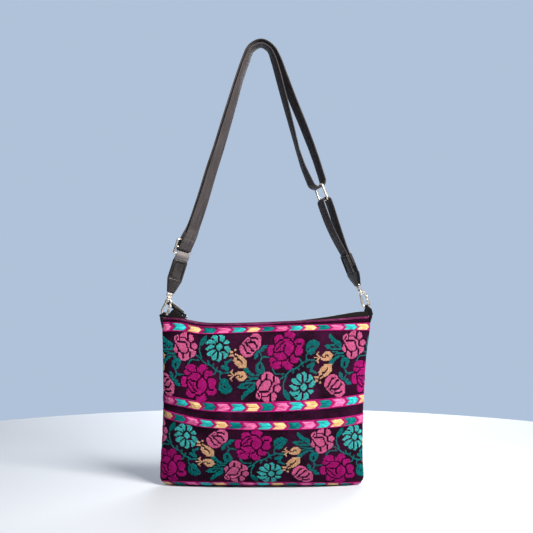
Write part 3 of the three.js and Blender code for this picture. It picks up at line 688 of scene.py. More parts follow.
def near(points, x, y, reach):
    """Which places lie within reach of a line through points."""
    hit = np.zeros(x.shape, bool)
    for (ax, ay), (bx, by) in zip(points, points[1:]):
        length = max((bx - ax) ** 2 + (by - ay) ** 2, 1e-9)
        along = np.clip(((x - ax) * (bx - ax) + (y - ay) * (by - ay)) / length, 0, 1)
        hit |= np.hypot(x - ax - along * (bx - ax), y - ay - along * (by - ay)) < reach
    return hit


def covered(drawing, x, y, stitch):
    """Which places a drawing covers with thread."""
    hit = np.zeros(x.shape, bool)
    for cx, cy, rx, ry in drawing.get("ovals", []):
        hit |= ((x - cx) / rx) ** 2 + ((y - cy) / ry) ** 2 < 1
    for petal in drawing.get("petals", []):
        hit |= inside(petal, x, y)
        hit |= near(petal + petal[:1], x, y, drawing.get("grow", GROW) * stitch)
    for stroke in drawing.get("strokes", []):
        hit |= near(stroke, x, y, drawing.get("stroke", STROKE) * stitch)
    for line in drawing.get("lines", []):
        hit &= ~near(line, x, y, BARE_LINE * stitch)
    return hit


def stitch_chart():
    """Each stitch's thread, by column and row, in a repeat and a second one that is turned over."""
    step = STITCH / SHEET
    columns = np.arange(2 * STITCHES_ACROSS)
    rows = np.arange(STITCH_ROWS) - STITCH_ROWS // 2
    sheet_x, sheet_y = np.meshgrid((columns + 0.5) * step, MIDDLE_LINE + rows * step, indexing="ij")
    width = 2 * STITCHES_ACROSS * step
    chart = np.zeros(sheet_x.shape, int)
    copies = [(half, lap) for half in (0, 1) for lap in (-1, 0, 1)]
    for layer in LAYERS:
        for half, lap in copies:
            x = sheet_x - half * width / 2 - lap * width
            y = sheet_y if half == 0 else 2 * MIDDLE_LINE - sheet_y
            for drawing, (place_x, place_y), zoom, over in layer:
                middle_x, middle_y = drawing["middle"]
                own_x = (x - place_x) * zoom + middle_x
                own_y = (y - place_y) * zoom * over + middle_y
                chart[covered(drawing, own_x, own_y, zoom * step)] = THREAD_NAMES.index(drawing["thread"])
    return chart


# Bag, in millimetres; front and back are sides -1 and 1
BAG_BASE = -595.5
BAG_HEIGHT = 228
BAG_HALF = 138
SEAM = 0.15
WALL = 1.7
# At the sides and the base the wall's inner face draws in by this many times its thickness
SEAM_INSET = 1.2
# How fast the walls part from the side seams
FULLNESS = 0.58
# Levels: height, left edge, right edge, half the depth, how square the bag is from above
LEVELS = np.array([
    (0, -124, 127, 0, 2.6), (1.5, -130.5, 133, 11, 2.6), (4, -134, 136.6, 18, 2.6),
    (9, -137, 139.4, 24.5, 2.6), (18, -137, 139.2, 30, 2.6), (45, -135.2, 138, 34.8, 2.5),
    (95, -133, 138.8, 36, 2.4), (140, -132.8, 140.8, 31, 2.5), (180, -133.4, 143.8, 20, 3),
    (210, -134.2, 148.1, 10.4, 5), (219.5, -134.4, 148.4, 8.2, 7), (221, -134.5, 148.5, 9, 8),
    (226.5, -134.6, 148.6, 8.6, 8), (228, -134.6, 148.6, 7.4, 8),
])
# The top edge: x and z
TOP_EDGE = np.array([
    (-136, -368.6), (-124, -368.4), (-111, -369.3), (-97, -372), (-84, -374.8), (-63, -376.3), (-29, -376),
    (5, -375), (39, -373.4), (73, -371.6), (107, -369.4), (127, -367.8), (146, -366.4),
])
# Ribs of the rolled hem: height, half width, rise
HEM_RIBS = [(226.3, 1.3, 0.8), (224.3, 0.7, -1.1), (223, 0.8, 0.5), (221.4, 1.1, -1.1)]
# Puckers beside the seams: their rise and how far they reach
PUCKER_RISE = 0.6
PUCKER_REACH = 8
# Dents in the front: x, height, half width, half height, depth
DENTS = [(-96, 178, 24, 52, 3), (104, 66, 30, 36, 2.5), (24, 196, 52, 20, 1.8)]
# Soft folds: from x and height, to x and height, half width, depth
FOLDS = {
    -1: [(-132, 108, -78, 101, 6, 1.8), (-126, 204, -84, 150, 9, 1.5), (136, 206, 98, 152, 9, 1.3),
         (-66, 30, -24, 12, 8, 1.2), (70, 34, 112, 14, 8, 1.3), (20, 84, 78, 92, 10, 0.9)],
    1: [(130, 206, 92, 150, 9, 1.4), (-130, 204, -90, 156, 9, 1.4), (-40, 96, 40, 88, 11, 1.6),
        (-100, 32, -50, 14, 8, 1.2)],
}
# A fold dies away over its ends, and a lower ridge lies beside it
FOLD_END = 14
RIDGE_SHARE = 0.45
RIDGE_ASIDE = 1.7


def read_table(table, column, at):
    """A smooth value from a table that is ordered by its first column."""
    at = np.asarray(at, float)
    order = table[:, 0]
    values = table[:, column]
    before = np.maximum(np.arange(len(table)) - 1, 0)
    after = np.minimum(np.arange(len(table)) + 1, len(table) - 1)
    slopes = (values[after] - values[before]) / (order[after] - order[before])
    row = np.clip(np.searchsorted(order, at) - 1, 0, len(table) - 2)
    span = order[row + 1] - order[row]
    t = np.clip((at - order[row]) / span, 0, 1)
    bend = (slopes[row] * (1 - t) - slopes[row + 1] * t) * t * (1 - t) * span
    share = ease(t)
    return values[row] * (1 - share) + values[row + 1] * share + bend


def hollows(x, height, side):
    """How far the wall is pressed in: dents, folds and the unevenness of soft cloth."""
    # Soft cloth hangs in slow waves, together up to 1 mm deep
    depth = 0.4 * np.sin(x / 17 + 1.3) * np.sin(height / 13 + 0.4)
    depth = depth + 0.3 * np.sin(x / 9.5 + height / 11 + 2 * side) + 0.25 * np.sin(x / 31 - height / 7.7)
    for from_x, from_height, to_x, to_height, half, deep in FOLDS[side]:
        run_x, run_height = to_x - from_x, to_height - from_height
        length = math.hypot(run_x, run_height)
        along = ((x - from_x) * run_x + (height - from_height) * run_height) / length
        off = ((x - from_x) * run_height - (height - from_height) * run_x) / length
        inside_ends = np.clip(np.minimum(along, length - along) / FOLD_END + 0.6, 0, 1)
        depth = depth + deep * inside_ends * np.exp(-(off / half) ** 2)
        ridge = np.exp(-((off - RIDGE_ASIDE * half) / half) ** 2)
        depth = depth - RIDGE_SHARE * deep * inside_ends * ridge
    if side < 0:
        for middle, level, wide, tall, deep in DENTS:
            depth = depth + deep * np.exp(-((x - middle) / wide) ** 2 - ((height - level) / tall) ** 2)
    # The base seam and the hem hold the cloth flat
    calm = np.clip(height / 20, 0, 1) * np.clip((216 - height) / 14, 0.25, 1)
    return depth * calm


def bag_point(across, height, inset, side):
    """A point of a bag wall: across from -1 to 1, side -1 for the front and 1 for the back."""
    left = read_table(LEVELS, 1, height) + SEAM_INSET * inset
    right = read_table(LEVELS, 2, height) - SEAM_INSET * inset
    x = left + (right - left) * (across + 1) / 2
    full = np.maximum(1 - np.abs(across) ** read_table(LEVELS, 4, height), 0) ** FULLNESS
    rim = sum(rise * np.exp(-((height - level) / half) ** 2) for level, half, rise in HEM_RIBS)
    depth = read_table(LEVELS, 3, height) + rim - hollows(x, height, side) - inset
    # The side seams and the base seam pucker the cloth beside them
    away = (1 - np.abs(across)) * BAG_HALF
    at_sides = np.sin(height / 2.1 + 3 * across) * np.exp(-away / PUCKER_REACH) * np.clip(away / 3, 0, 1)
    at_sides = at_sides * np.clip(height / 25, 0, 1) * np.clip((210 - height) / 20, 0, 1)
    at_base = np.sin(x / 2.3) * np.exp(-height / PUCKER_REACH) * np.clip(height / 3, 0, 1) * full
    out = np.maximum(np.maximum(depth, 0) * full + PUCKER_RISE * (at_sides + at_base), 0)
    share = height / BAG_HEIGHT
    lift = (read_table(TOP_EDGE, 1, x) - BAG_BASE - BAG_HEIGHT) * share
    z = BAG_BASE + height + lift + SEAM_INSET * inset * (1 - share)
    return np.stack([x, side * (SEAM + out), z], -1)


# Steps across in which a wall's arc is measured
FINE_ACROSS = 801


def even_across(height, count, side):
    """Values of across, for each height, that are evenly spaced along the cloth."""
    spread = np.sin(np.linspace(-math.pi / 2, math.pi / 2, FINE_ACROSS))
    points = bag_point(spread[None, :], height[:, None], 0, side)
    steps = np.linalg.norm(np.diff(points, axis=1), axis=2)
    run = np.concatenate([np.zeros((len(height), 1)), np.cumsum(steps, 1)], 1)
    shares = np.linspace(0, 1, count)
    return np.array([np.interp(shares, row / row[-1], spread) for row in run])


# The flat cloth: s runs across from its middle, v down from the middle of the first band
FLAT_WIDTH = 290
HEM_V = -13
# Lines across the cloth: v, and their heights on the wall at the left edge, the middle and the right edge
CLOTH_LINES = np.array([
    (-6.8, 221.9, 223.6, 219), (6.8, 207.9, 214.6, 208), (105, 115.7, 113.1, 118.3),
    (130.5, 97, 87, 90.2), (183, 47.2, 44, 40.4), (228.7, 6.5, 8.8, 4.2),
])
# How much higher the same lines are at the very left edge, and the share of the width that this dies away in
EDGE_LIFT = np.array([0, 0, 3, 3.4, 1, 0])
EDGE_SHARE = 0.05
# How far the flat cloth is followed past its last line
CLOTH_BEYOND = 60
# The cloth's grid, and the finer steps in which the wall is measured
COLUMNS = 421
ROWS_DOWN = 380
V_TOP = -16
V_STEP = 0.7
WALL_STEPS = 700


def lay_cloth(side):
    """A grid of points and normals on a wall, even in s and v; past the seam its points stay on the seam."""
    height = np.linspace(BAG_HEIGHT, 0, WALL_STEPS)
    across = even_across(height, COLUMNS, side)
    points = bag_point(across, height[:, None], 0, side)
    steps = np.linalg.norm(np.diff(points, axis=0), axis=2)
    drop = np.concatenate([np.zeros((1, COLUMNS)), np.cumsum(steps, 0)])
    v = V_TOP + V_STEP * np.arange(ROWS_DOWN)
    known_v = [HEM_V, *CLOTH_LINES[:, 0], CLOTH_LINES[-1, 0] + CLOTH_BEYOND]
    left, middle, right = CLOTH_LINES[:, 1:].T
    grid = np.zeros((ROWS_DOWN, COLUMNS, 3))
    past = np.zeros((ROWS_DOWN, COLUMNS), bool)
    for k in range(COLUMNS):
        share = k / (COLUMNS - 1)
        bow = 1 - (2 * share - 1) ** 2
        levels = left + (right - left) * share + (middle - (left + right) / 2) * bow
        levels = levels + EDGE_LIFT * math.exp(-share / EDGE_SHARE)
        lines = np.interp(-levels, -height, drop[:, k])
        down = np.interp(v, known_v, [0, *lines, lines[-1] + CLOTH_BEYOND])
        past[:, k] = down > drop[-1, k] - 1
        for axis in range(3):
            grid[:, k, axis] = np.interp(down, drop[:, k], points[:, k, axis])
    if side > 0:
        grid = grid[:, ::-1]
        past = past[:, ::-1]
    normal = unit(np.cross(np.gradient(grid, axis=1), np.gradient(grid, axis=0)))
    if np.mean(normal[..., 1]) * side < 0:
        normal = -normal
    return grid, normal, past


def on_cloth(cloth, s, v, rise):
    """Places over the flat cloth carried on to the wall, lifted off it by rise."""
    grid, normal, past = cloth
    column = np.clip((s / FLAT_WIDTH + 0.5) * (COLUMNS - 1), 0, COLUMNS - 1.001)
    row = np.clip((v - V_TOP) / V_STEP, 0, ROWS_DOWN - 1.001)
    j = column.astype(int)
    i = row.astype(int)
    right = (column - j)[..., None]
    below = (row - i)[..., None]
    place = np.zeros((*s.shape, 3))
    lift = np.zeros((*s.shape, 3))
    for di, dj, weight in [(0, 0, (1 - below) * (1 - right)), (0, 1, (1 - below) * right),
                           (1, 0, below * (1 - right)), (1, 1, below * right)]:
        place += grid[i + di, j + dj] * weight
        lift += normal[i + di, j + dj] * weight
    return place + unit(lift) * np.asarray(rise)[..., None]


# How far stitches keep off the side seams
SEAM_CLEAR = 1.2


def past_seam(cloth, s, v):
    """Which places over the flat cloth lie past the base seam or at the side seams."""
    column = np.clip(np.round((s / FLAT_WIDTH + 0.5) * (COLUMNS - 1)), 0, COLUMNS - 1).astype(int)
    row = np.clip(np.round((v - V_TOP) / V_STEP), 0, ROWS_DOWN - 1).astype(int)
    return cloth[2][row, column] | (np.abs(s) > FLAT_WIDTH / 2 - SEAM_CLEAR)


def many(name, points, faces, slots, materials):
    """One piece from many small closed bodies with the same faces; slots gives each body's material."""
    count, size = points.shape[:2]
    mesh = bpy.data.meshes.new(name)
    listed = [tuple(first + k for k in face) for first in range(0, count * size, size) for face in faces]
    mesh.from_pydata((points.reshape(-1, 3) * MM).tolist(), [], listed)
    mesh.polygons.foreach_set("material_index", np.repeat(np.asarray(slots, np.int32), len(faces)))
    return show(name, mesh, materials)


# Cross stitches: a small cushion with four arms, its waists drawn down into the cloth
ARMS = np.array([(-1, -1), (0, -0.82), (1, -1), (0.82, 0), (1, 1), (0, 0.82), (-1, 1), (-0.82, 0), (0, 0)])
ARM_RISE = np.array([0.3, -0.05, 0.3, -0.05, 0.3, -0.05, 0.3, -0.05, 0.8])
CUSHION = [(k, (k + 1) % 8, 8) for k in range(8)] + [tuple(range(7, -1, -1))]
CUSHION_HALF = STITCH * 0.46
# How far a stitch's corners stray, and how much its height varies
STITCH_SWAY = 0.05
STITCH_SWELL = 0.12


def flowers(name, cloth, chart, first_s, middle_v, pitch):
    """A strip of cross-stitched flowers, its stitches drawn together a little across."""
    reach = FLAT_WIDTH / 2
    columns = np.arange(math.ceil((-reach - first_s) / pitch), (reach - first_s) / pitch).astype(int)
    pick = chart[columns % len(chart)]
    column, row = np.nonzero(pick)
    thread = pick[column, row]
    s = first_s + (columns[column] + 0.5) * pitch
    v = middle_v + (row - STITCH_ROWS // 2) * STITCH
    keep = ~past_seam(cloth, s, v)
    s, v, thread = s[keep], v[keep], thread[keep]
    sway = chance.normal(0, STITCH_SWAY, (len(s), len(ARMS), 2))
    swell = chance.normal(1, STITCH_SWELL, (len(s), 1))
    corner_s = s[:, None] + ARMS[:, 0] * CUSHION_HALF + sway[..., 0]
    corner_v = v[:, None] + ARMS[:, 1] * CUSHION_HALF + sway[..., 1]
    points = on_cloth(cloth, corner_s, corner_v, ARM_RISE * swell)
    return many(name, points, CUSHION, thread - 1, THREADS.values())


# Satin strands: short runs of thread, side by side, sunk in at both ends
STRAND_STOPS = np.array([0, 0.1, 0.5, 0.9, 1])
STRAND_LIFT = np.array([-0.35, 0.6, 1, 0.6, -0.35])
STRAND_RING = np.array([(-1, 0), (0, 1), (1, 0), (0, -1)])
STRAND_FACES = ring_faces(len(STRAND_STOPS), len(STRAND_RING))


def strand_points(cloth, start, stop, half, rise):
    """Points of strands from start to stop, each a place (s, v) on the flat cloth."""
    spots = start[:, None] + (stop - start)[:, None] * STRAND_STOPS[None, :, None]
    along = unit(stop - start)
    aside = np.stack([-along[:, 1], along[:, 0]], 1)
    thick = half[:, None, None] * STRAND_RING[None, None, :, 1]
    flat = spots[:, :, None] + aside[:, None, None] * (half[:, None, None] * STRAND_RING[:, 0])[..., None]
    lift = rise[:, None, None] * STRAND_LIFT[None, :, None] + 0.8 * thick
    points = on_cloth(cloth, flat[..., 0], flat[..., 1], lift)
    return points.reshape(len(start), -1, 3)


# Chevron bands: segments point to the right, with a line between each two and a border above and below
CHEVRON_GAP = 4.4
CHEVRON_POINT = 4.8
SEGMENT_TOP = -4.5
SEGMENT_BASE = 5.1
SEGMENT_STRANDS = 17
SEGMENT_DYES = 4
SEGMENT_LAPS = range(-6, 13)
STRAND_HALF = 0.36
LINE_RISE = 0.35
LEAN_SWAY = 0.12
BORDER_ABOVE = 2
BORDER_BELOW = 1.5
BORDER_PITCH = 0.95
BORDER_SLANT = 0.9
BORDER_HALF = 0.5
BORDER_RISE = 0.45
SHORTEST = 0.7
# Bands: middle on the flat cloth, a pink segment's left corner, the pitch and how it shrinks
BAND_PITCH = 20
BANDS = [
    (0, -67.5, BAND_PITCH, 0.115), (105, -63, 19.4, 0), (130.5, -26.2, 19.4, 0),
    (235.5, -28.7, BAND_PITCH, 0),
]


def chevrons(name, cloth, shift):
    """All the chevron bands of a wall: satin segments, the lines between them, and slanted borders."""
    # Strands: start, stop, half width, rise and thread
    strands = []
    low, high = SEGMENT_TOP, SEGMENT_BASE
    borders = [(low - BORDER_ABOVE, low), (high, high + BORDER_BELOW)]
    pitch = (high - low) / SEGMENT_STRANDS
    for middle, first, step, shrink in BANDS:
        for lap in SEGMENT_LAPS:
            corner = first + shift + lap * step - shrink * (lap - 1) ** 2
            if abs(corner) > FLAT_WIDTH / 2 + 18:
                continue
            # Strands fill a segment from its top to its base; it swells, with a groove along its middle
            for k in range(SEGMENT_STRANDS):
                v = low + (k + 0.5) * pitch
                t = (2 * v - low - high) / (high - low)
                lean = CHEVRON_POINT * (1 - abs(t)) + chance.normal(0, LEAN_SWAY)
                swell = 0.2 + 0.75 * (1 - t * t) - 0.3 * math.exp(-(t / 0.13) ** 2)
                tail = corner + lean
                tip = tail + step - CHEVRON_GAP
                row = middle + v
                strands.append(((tail, row), (tip, row), STRAND_HALF, swell, 1 + lap % SEGMENT_DYES))
                strands.append(((tip, row), (tip + CHEVRON_GAP, row), STRAND_HALF, LINE_RISE, 0))
        for top, base in borders:
            for s in np.arange(-FLAT_WIDTH / 2, FLAT_WIDTH / 2, BORDER_PITCH):
                border_ends = (s, middle + base), (s + BORDER_SLANT, middle + top)
                strands.append((*border_ends, BORDER_HALF, BORDER_RISE, 0))
    starts, stops, halves, rises, slots = (np.array(column) for column in zip(*strands))
    limit = FLAT_WIDTH / 2 - 1
    ends = np.array([starts, stops])
    ends[..., 0] = np.clip(ends[..., 0], -limit, limit)
    hidden = past_seam(cloth, ends[..., 0] * 0.99, ends[..., 1])
    keep = (ends[1, :, 0] - ends[0, :, 0] > SHORTEST) & ~hidden[0] & ~hidden[1]
    start, stop = ends[:, keep]
    points = strand_points(cloth, start, stop, halves[keep], rises[keep])
    return many(name, points, STRAND_FACES, slots[keep], SATIN_THREADS.values())


# Bag walls
WALL_HEIGHTS = np.array([
    0, 0.5, 1, 1.6, 2.3, 3.1, 4, 5.2, 6.6, 8.2, 10, 12, 14.5, 17.2, *np.arange(20, 206, 2.2),
    *np.arange(206.6, 228.1, 0.8), 228,
])
WALL_COLUMNS = 171
HEM_LOW = 224.6


def bag_wall(name, side):
    """A closed velvet wall with its rolled hem."""
    across = even_across(WALL_HEIGHTS, WALL_COLUMNS, side)
    outer, inner = (bag_point(across, WALL_HEIGHTS[:, None], inset, side) for inset in (0, WALL))
    points, faces, face_rows = wall_between(outer, inner)
    made = Shape().take(points, faces).piece(name, VELVET, HEM_VELVET_PAINTED_HIGHLIGHT)
    # Faces above HEM_LOW get the lighter velvet, a painted highlight on the hem's rim
    made.data.polygons.foreach_set("material_index", (WALL_HEIGHTS[face_rows] > HEM_LOW).astype(np.int32))
    return made


# Strips of flowers: name, where a repeat starts, the strip's middle, and how its stitches are drawn together
STRIPS = [("upper", -92, 53.2, 0.967), ("lower", -129.5, 183, 0.948)]
# Walls: name, side, and how far its pattern is shifted
WALLS = [("front", -1, 0), ("back", 1, 33)]
chart = stitch_chart()
for place, side, shift in WALLS:
    cloth = lay_cloth(side)
    wall = bag_wall(f"{place}_wall", side)
    sewn_on = [
        flowers(f"{place}_flowers_{strip}", cloth, chart, first_s + shift, middle_v, drawn * STITCH)
        for strip, first_s, middle_v, drawn in STRIPS
    ]
    sewn_on.append(chevrons(f"{place}_chevron_bands", cloth, shift % BAND_PITCH))
    carry(wall, "bag", f"{place}_panel")
    for piece in sewn_on:
        carry(piece, "bag")

# Zip: the coil's height above the hem, by x; the tape's ends stand up at both corners
ZIP_RISE = np.array([
    (-127, 3), (-124.5, 5.2), (-122, 8.4), (-119, 10.8), (-115.6, 9.8), (-110, 6.6), (-106, 2.6), (-102, 0),
    (-96, -0.8), (-60, -2.6), (0, -2.6), (50, -0.4), (90, 2.4), (116, 4.9), (134, 6.2), (143, 6),
])
TAPE_START = -126
TAPE_END = 145.5
TAPE_THICK = 0.9
TAPE_DEEP = 8
TAPE_COLUMNS = 127
# The column on which the tape's length down is measured
TAPE_MIDDLE = 60
# Heights where the tape keeps clear of the wall's inner face
TAPE_LEVELS = (212.0, 216.0, 219.5, 228.0)
TAPE_INSET = 2
TAPE_CLEAR = 0.45
# The tape starts to bend over this far below the hem and the coil, and ends this far from the coil
BEND_UNDER_HEM = 3
BEND_UNDER_COIL = 3.4
COIL_GAP = 0.3
ZIP_START = -117
ZIP_END = 132
COIL_HALF = 1.8
TOOTH_PITCH = 1.25
SLIDER_X = -104
PIN_HEIGHT = -364.7


def top_edge(x):
    """Height of the hem's top."""
    return read_table(TOP_EDGE, 1, x)


def zip_height(x):
    """Height of the coil."""
    return top_edge(x) + read_table(ZIP_RISE, 1, x)


def zip_tape(name, side, node):
    """A woven tape that stands inside the hem and bends over to the coil."""
    x = np.linspace(TAPE_START, TAPE_END, TAPE_COLUMNS)
    left, right = LEVELS[-1, 1:3]
    across = (2 * x - left - right) / (right - left)
    walls = [bag_point(across, np.full(len(x), level), TAPE_INSET, side) for level in TAPE_LEVELS]
    away = np.min([np.abs(wall[:, 1]) for wall in walls], 0) - TAPE_CLEAR
    hem = top_edge(x)
    coil = zip_height(x)
    low = hem - TAPE_DEEP
    bend = np.minimum(hem - BEND_UNDER_HEM, coil - BEND_UNDER_COIL)
    edge = COIL_HALF + COIL_GAP
    rows = [(away, low), (away, (low + bend) / 2)]
    for t in np.linspace(0, 1, 9):
        y = (1 - t * t) * away + t * t * edge
        z = (1 - t) ** 2 * bend + 2 * t * (1 - t) * (coil + 0.2) + t * t * coil
        rows.append((y, z))
    middle = np.array([spots_at(x, side * y, z) for y, z in rows])
    out = unit(np.cross((1.0, 0, 0), np.gradient(middle, axis=0))) * TAPE_THICK / 2
    flat = 2 * [(column, down) for down in run_along(middle[:, TAPE_MIDDLE]) for column in x]
    shape = Shape().take(*wall_between(middle + out, middle - out)[:2], flat)
    carry(shape.piece(name, ZIP_CLOTH), "bag", node)


zip_tape("zip_tape_near", -1, "zip_tape_front")
zip_tape("zip_tape_far", 1, "zip_tape_back")

# A turn of the coil is a bead: its rings lie along it and have a width, both as shares of its size
BEAD_SIDES = 8
BEAD_RINGS = [(-0.7, 0.75), (0, 1), (0.7, 0.75)]
BEAD_SIZE = (0.58, COIL_HALF + 0.15, 1.1)
BEAD_LEAN = 0.175 / COIL_HALF
BEAD_ASIDE = 0.22


def zip_teeth():
    """The coil's turns, each a leaning bead across the zip, by turns from the two tapes."""
    x = np.arange(ZIP_START + 0.6, ZIP_END - 0.5, TOOTH_PITCH)
    angles = np.arange(BEAD_SIDES) * math.tau / BEAD_SIDES
    rings = [spots_at(wide * np.cos(angles), along, wide * np.sin(angles)) for along, wide in BEAD_RINGS]
    bead = np.concatenate([[(0, -1, 0)], *rings, [(0, 1, 0)]]) * BEAD_SIZE
    bead[:, 0] += BEAD_LEAN * bead[:, 1]
    starts = [1 + BEAD_SIDES * ring for ring in range(len(BEAD_RINGS))]
    faces = []
    for k in range(BEAD_SIDES):
        n = (k + 1) % BEAD_SIDES
        faces.append((0, 1 + n, 1 + k))
        faces += [(here + k, here + n, there + n, there + k) for here, there in zip(starts, starts[1:])]
        faces.append((starts[-1] + k, starts[-1] + n, len(bead) - 1))
    aside = np.where(np.arange(len(x)) % 2, BEAD_ASIDE, -BEAD_ASIDE)
    points = spots_at(x, aside, zip_height(x))[:, None] + bead
    carry(many("zip_teeth", points, faces, np.zeros(len(x)), [ZIP_PLASTIC]), "bag", "zip_coil")


zip_teeth()

# Pull: lengths are from the slider's pin
PULL_LENGTH = 35.5
PULL_LIFT = 33
PULL_YAW = 27
GRIP_START = 3.4
GRIP_WIDTH = 6.8
GRIP_THICK = 7
GRIP_CORNER = 2.4
RIB_PITCH = 2.1
RIB_DEPTH = 0.14
PULL_EYE = 1.42
# The neck's lengths and widths
NECK = np.array([(1.55, 2.2), (2.6, 3), (4, 4), (5.4, 4.4)])


def zip_pull():
    """A ribbed nylon pull on the slider's pin."""
    turn = rotation(-PULL_YAW, "Z") @ rotation(180 + PULL_LIFT, "Y")
    place = Matrix.Translation((SLIDER_X, 0, PIN_HEIGHT)) @ turn
    run = np.linspace(GRIP_START, PULL_LENGTH, 97)
    ribs = 1 - RIB_DEPTH * (0.5 + 0.5 * np.cos((run - GRIP_START) * math.tau / RIB_PITCH)) ** 2
    ends = np.clip(np.minimum(run - 3, PULL_LENGTH + 0.15 - run) / 1.6, 0.05, 1) ** 0.5
    angles = np.linspace(0, math.tau, 24, endpoint=False)
    eye = spots_at(PULL_EYE * np.cos(angles), 0, PULL_EYE * np.sin(angles))

    def grip(size):
        """The grip's outline for a share of its size."""
        return flat_ring(GRIP_THICK * size, GRIP_CORNER * size)(GRIP_WIDTH * size)

    shape = Shape()
    for points, widths, ring, closed in [
        (spots_at(run, 0, 0), ribs * ends, grip, False),
        (eye, 2.3, flat_ring(0.62, 0.28), True),
        (spots_at(NECK[:, 0], 0, 0), NECK[:, 1], flat_ring(3.8, 0.9), False),
    ]:
        shape.take(*sweep(points, (0, 1, 0), widths, ring, closed), matrix=place)
    carry(shape.piece("ribbed_pull", ZIP_PLASTIC), "pull", "zip_pull")


zip_pull()

# Clasps: heights are from the middle of the hook's lower bar, along the clasp
WIRE = 1.65
HOOK_HALF = 4.05
HOOK_DROP = -2.6
HOOK_TIP = 7
BAR_LOW = 16.6
BAR_HIGH = 19.6
BLOCK_HALF = 2.2
EAR_THICK = 0.9
PIVOT_X = 4.7
PIVOT_HEIGHT = 16
EYE_LOW = 19.9
EYE_BAR = 30.4
EYE_WIRE = 1.1
EYE_HALF = 4.6
EYE_WEB_HIGH = 26.9
# Each side of the strap: where the hook's lower bar is, how the side leans and how the strap is turned
SIDES = {
    "left": ((-131.6, 0, -361.5), 17.5, 22),
    "right": ((142.4, 0, -351.8), -21.7, 113),
}
side_place = {}
strap_place = {}
for side_name, (hook, lean, twist) in SIDES.items():
    side_place[side_name] = Matrix.Translation(hook) @ rotation(lean, "Y")
    strap_place[side_name] = side_place[side_name] @ rotation(twist, "Z")


def level_wire(path, radius, closed=False, taper=()):
    """A round wire along a path drawn in X and Z, thinner over its last points where taper says so."""
    points = np.array([(x, 0, z) for x, z in path])
    widths = np.ones(len(points))
    if taper:
        widths[-len(taper):] = taper
    return sweep(points, (0, 1, 0), widths, round_ring(radius), closed)


# The hook's spine, and the last points of its tip as distances from the end with their thickness
HOOK_SPINE = [
    (-0.6, BAR_LOW + 1), (-1.4, 14.6), (-2.1, 11.4), (-2.7, 8), (-3.2, 4.6),
    (PIVOT_X - 2 * HOOK_HALF, HOOK_DROP + HOOK_HALF),
]
HOOK_END = [(0.3, 0.96), (0.1, 0.8), (0, 0.5)]
SWIVEL_BLOCK = [
    (2, BAR_HIGH), (-1.8, BAR_HIGH), (-2.5, BAR_HIGH - 0.8), (-2.5, BAR_LOW - 1.2), (0.4, BAR_LOW - 0.8),
    (PIVOT_X - 2.2, BAR_LOW), (PIVOT_X, BAR_LOW + 0.4),
]
GATE_EAR = [(PIVOT_X + 0.6, PIVOT_HEIGHT + 1.3), (1.8, BAR_HIGH - 0.4), (1.2, BAR_LOW + 0.2)]
GATE_EAR += arc((PIVOT_X, PIVOT_HEIGHT), 1.35, 170, 380, 11)


def clasp_hook(side_name):
    """A cast hook: bent wire that narrows to the swivel block, a round tip, and two ears for the gate."""
    place = side_place[side_name]
    middle = HOOK_DROP + HOOK_HALF
    path = [*smooth_path(HOOK_SPINE, 5)]
    path += arc((PIVOT_X - HOOK_HALF, middle), HOOK_HALF, 180, 360, 25)[1:]
    path += [(PIVOT_X, z) for z in np.linspace(middle + 0.5, HOOK_TIP - 0.7, 5)]
    path += [(PIVOT_X, HOOK_TIP - short) for short, thin in HOOK_END]
    shape = Shape().take(*level_wire(path, WIRE, taper=[thin for short, thin in HOOK_END]), matrix=place)
    plates = [(SWIVEL_BLOCK, -BLOCK_HALF, BLOCK_HALF, 0.7)]
    plates += [(GATE_EAR, low, low + EAR_THICK, 0.2) for low in (-BLOCK_HALF, BLOCK_HALF - EAR_THICK)]
    for plate in plates:
        shape.take(*bevelled(*plate), matrix=place)
    carry(shape.piece(f"hook_{side_name}", METAL), f"hook_{side_name}", f"clasp_hook_{side_name}")


# The gate's pin, as radius and height, and its plates, each with half its thickness and its bevel
HINGE_PIN = [(0.45, -2.5), (0.8, -2.3), (0.55, -2.2), (0.55, 2.2), (0.8, 2.3), (0.45, 2.5)]
GATE_LOW = HOOK_TIP + 0.4
GATE_TONGUE = [(PIVOT_X - 1.4, GATE_LOW), (PIVOT_X + 1.4, GATE_LOW)]
GATE_TONGUE += arc((PIVOT_X, PIVOT_HEIGHT), 1.4, 0, 180, 11)
THUMB_KNOB = [
    (PIVOT_X - 1.3, GATE_LOW), (PIVOT_X + 1.3, GATE_LOW), (PIVOT_X + 1.4, GATE_LOW + 1.2),
    (PIVOT_X + 1.8, GATE_LOW + 1.4), *arc((PIVOT_X + 1.6, GATE_LOW + 2.9), 1.2, -60, 60, 7),
    (PIVOT_X + 1.4, GATE_LOW + 4.8), (PIVOT_X - 1.3, GATE_LOW + 4.8),
]
GATE_PLATES = [(GATE_TONGUE, 1.1, 0.4), (THUMB_KNOB, 1.5, 0.6)]


def clasp_gate(side_name):
    """A sprung gate with a thumb knob and its hinge pin."""
    place = side_place[side_name]
    shape = Shape()
    for outline, half, bevel in GATE_PLATES:
        shape.take(*bevelled(outline, -half, half, bevel), matrix=place)
    lay = Matrix.Translation((PIVOT_X, 0, PIVOT_HEIGHT)) @ rotation(90, "X")
    shape.take(*turned(HINGE_PIN, 14), matrix=place @ lay)
    carry(shape.piece(f"gate_{side_name}", METAL), f"gate_{side_name}", f"clasp_gate_{side_name}")


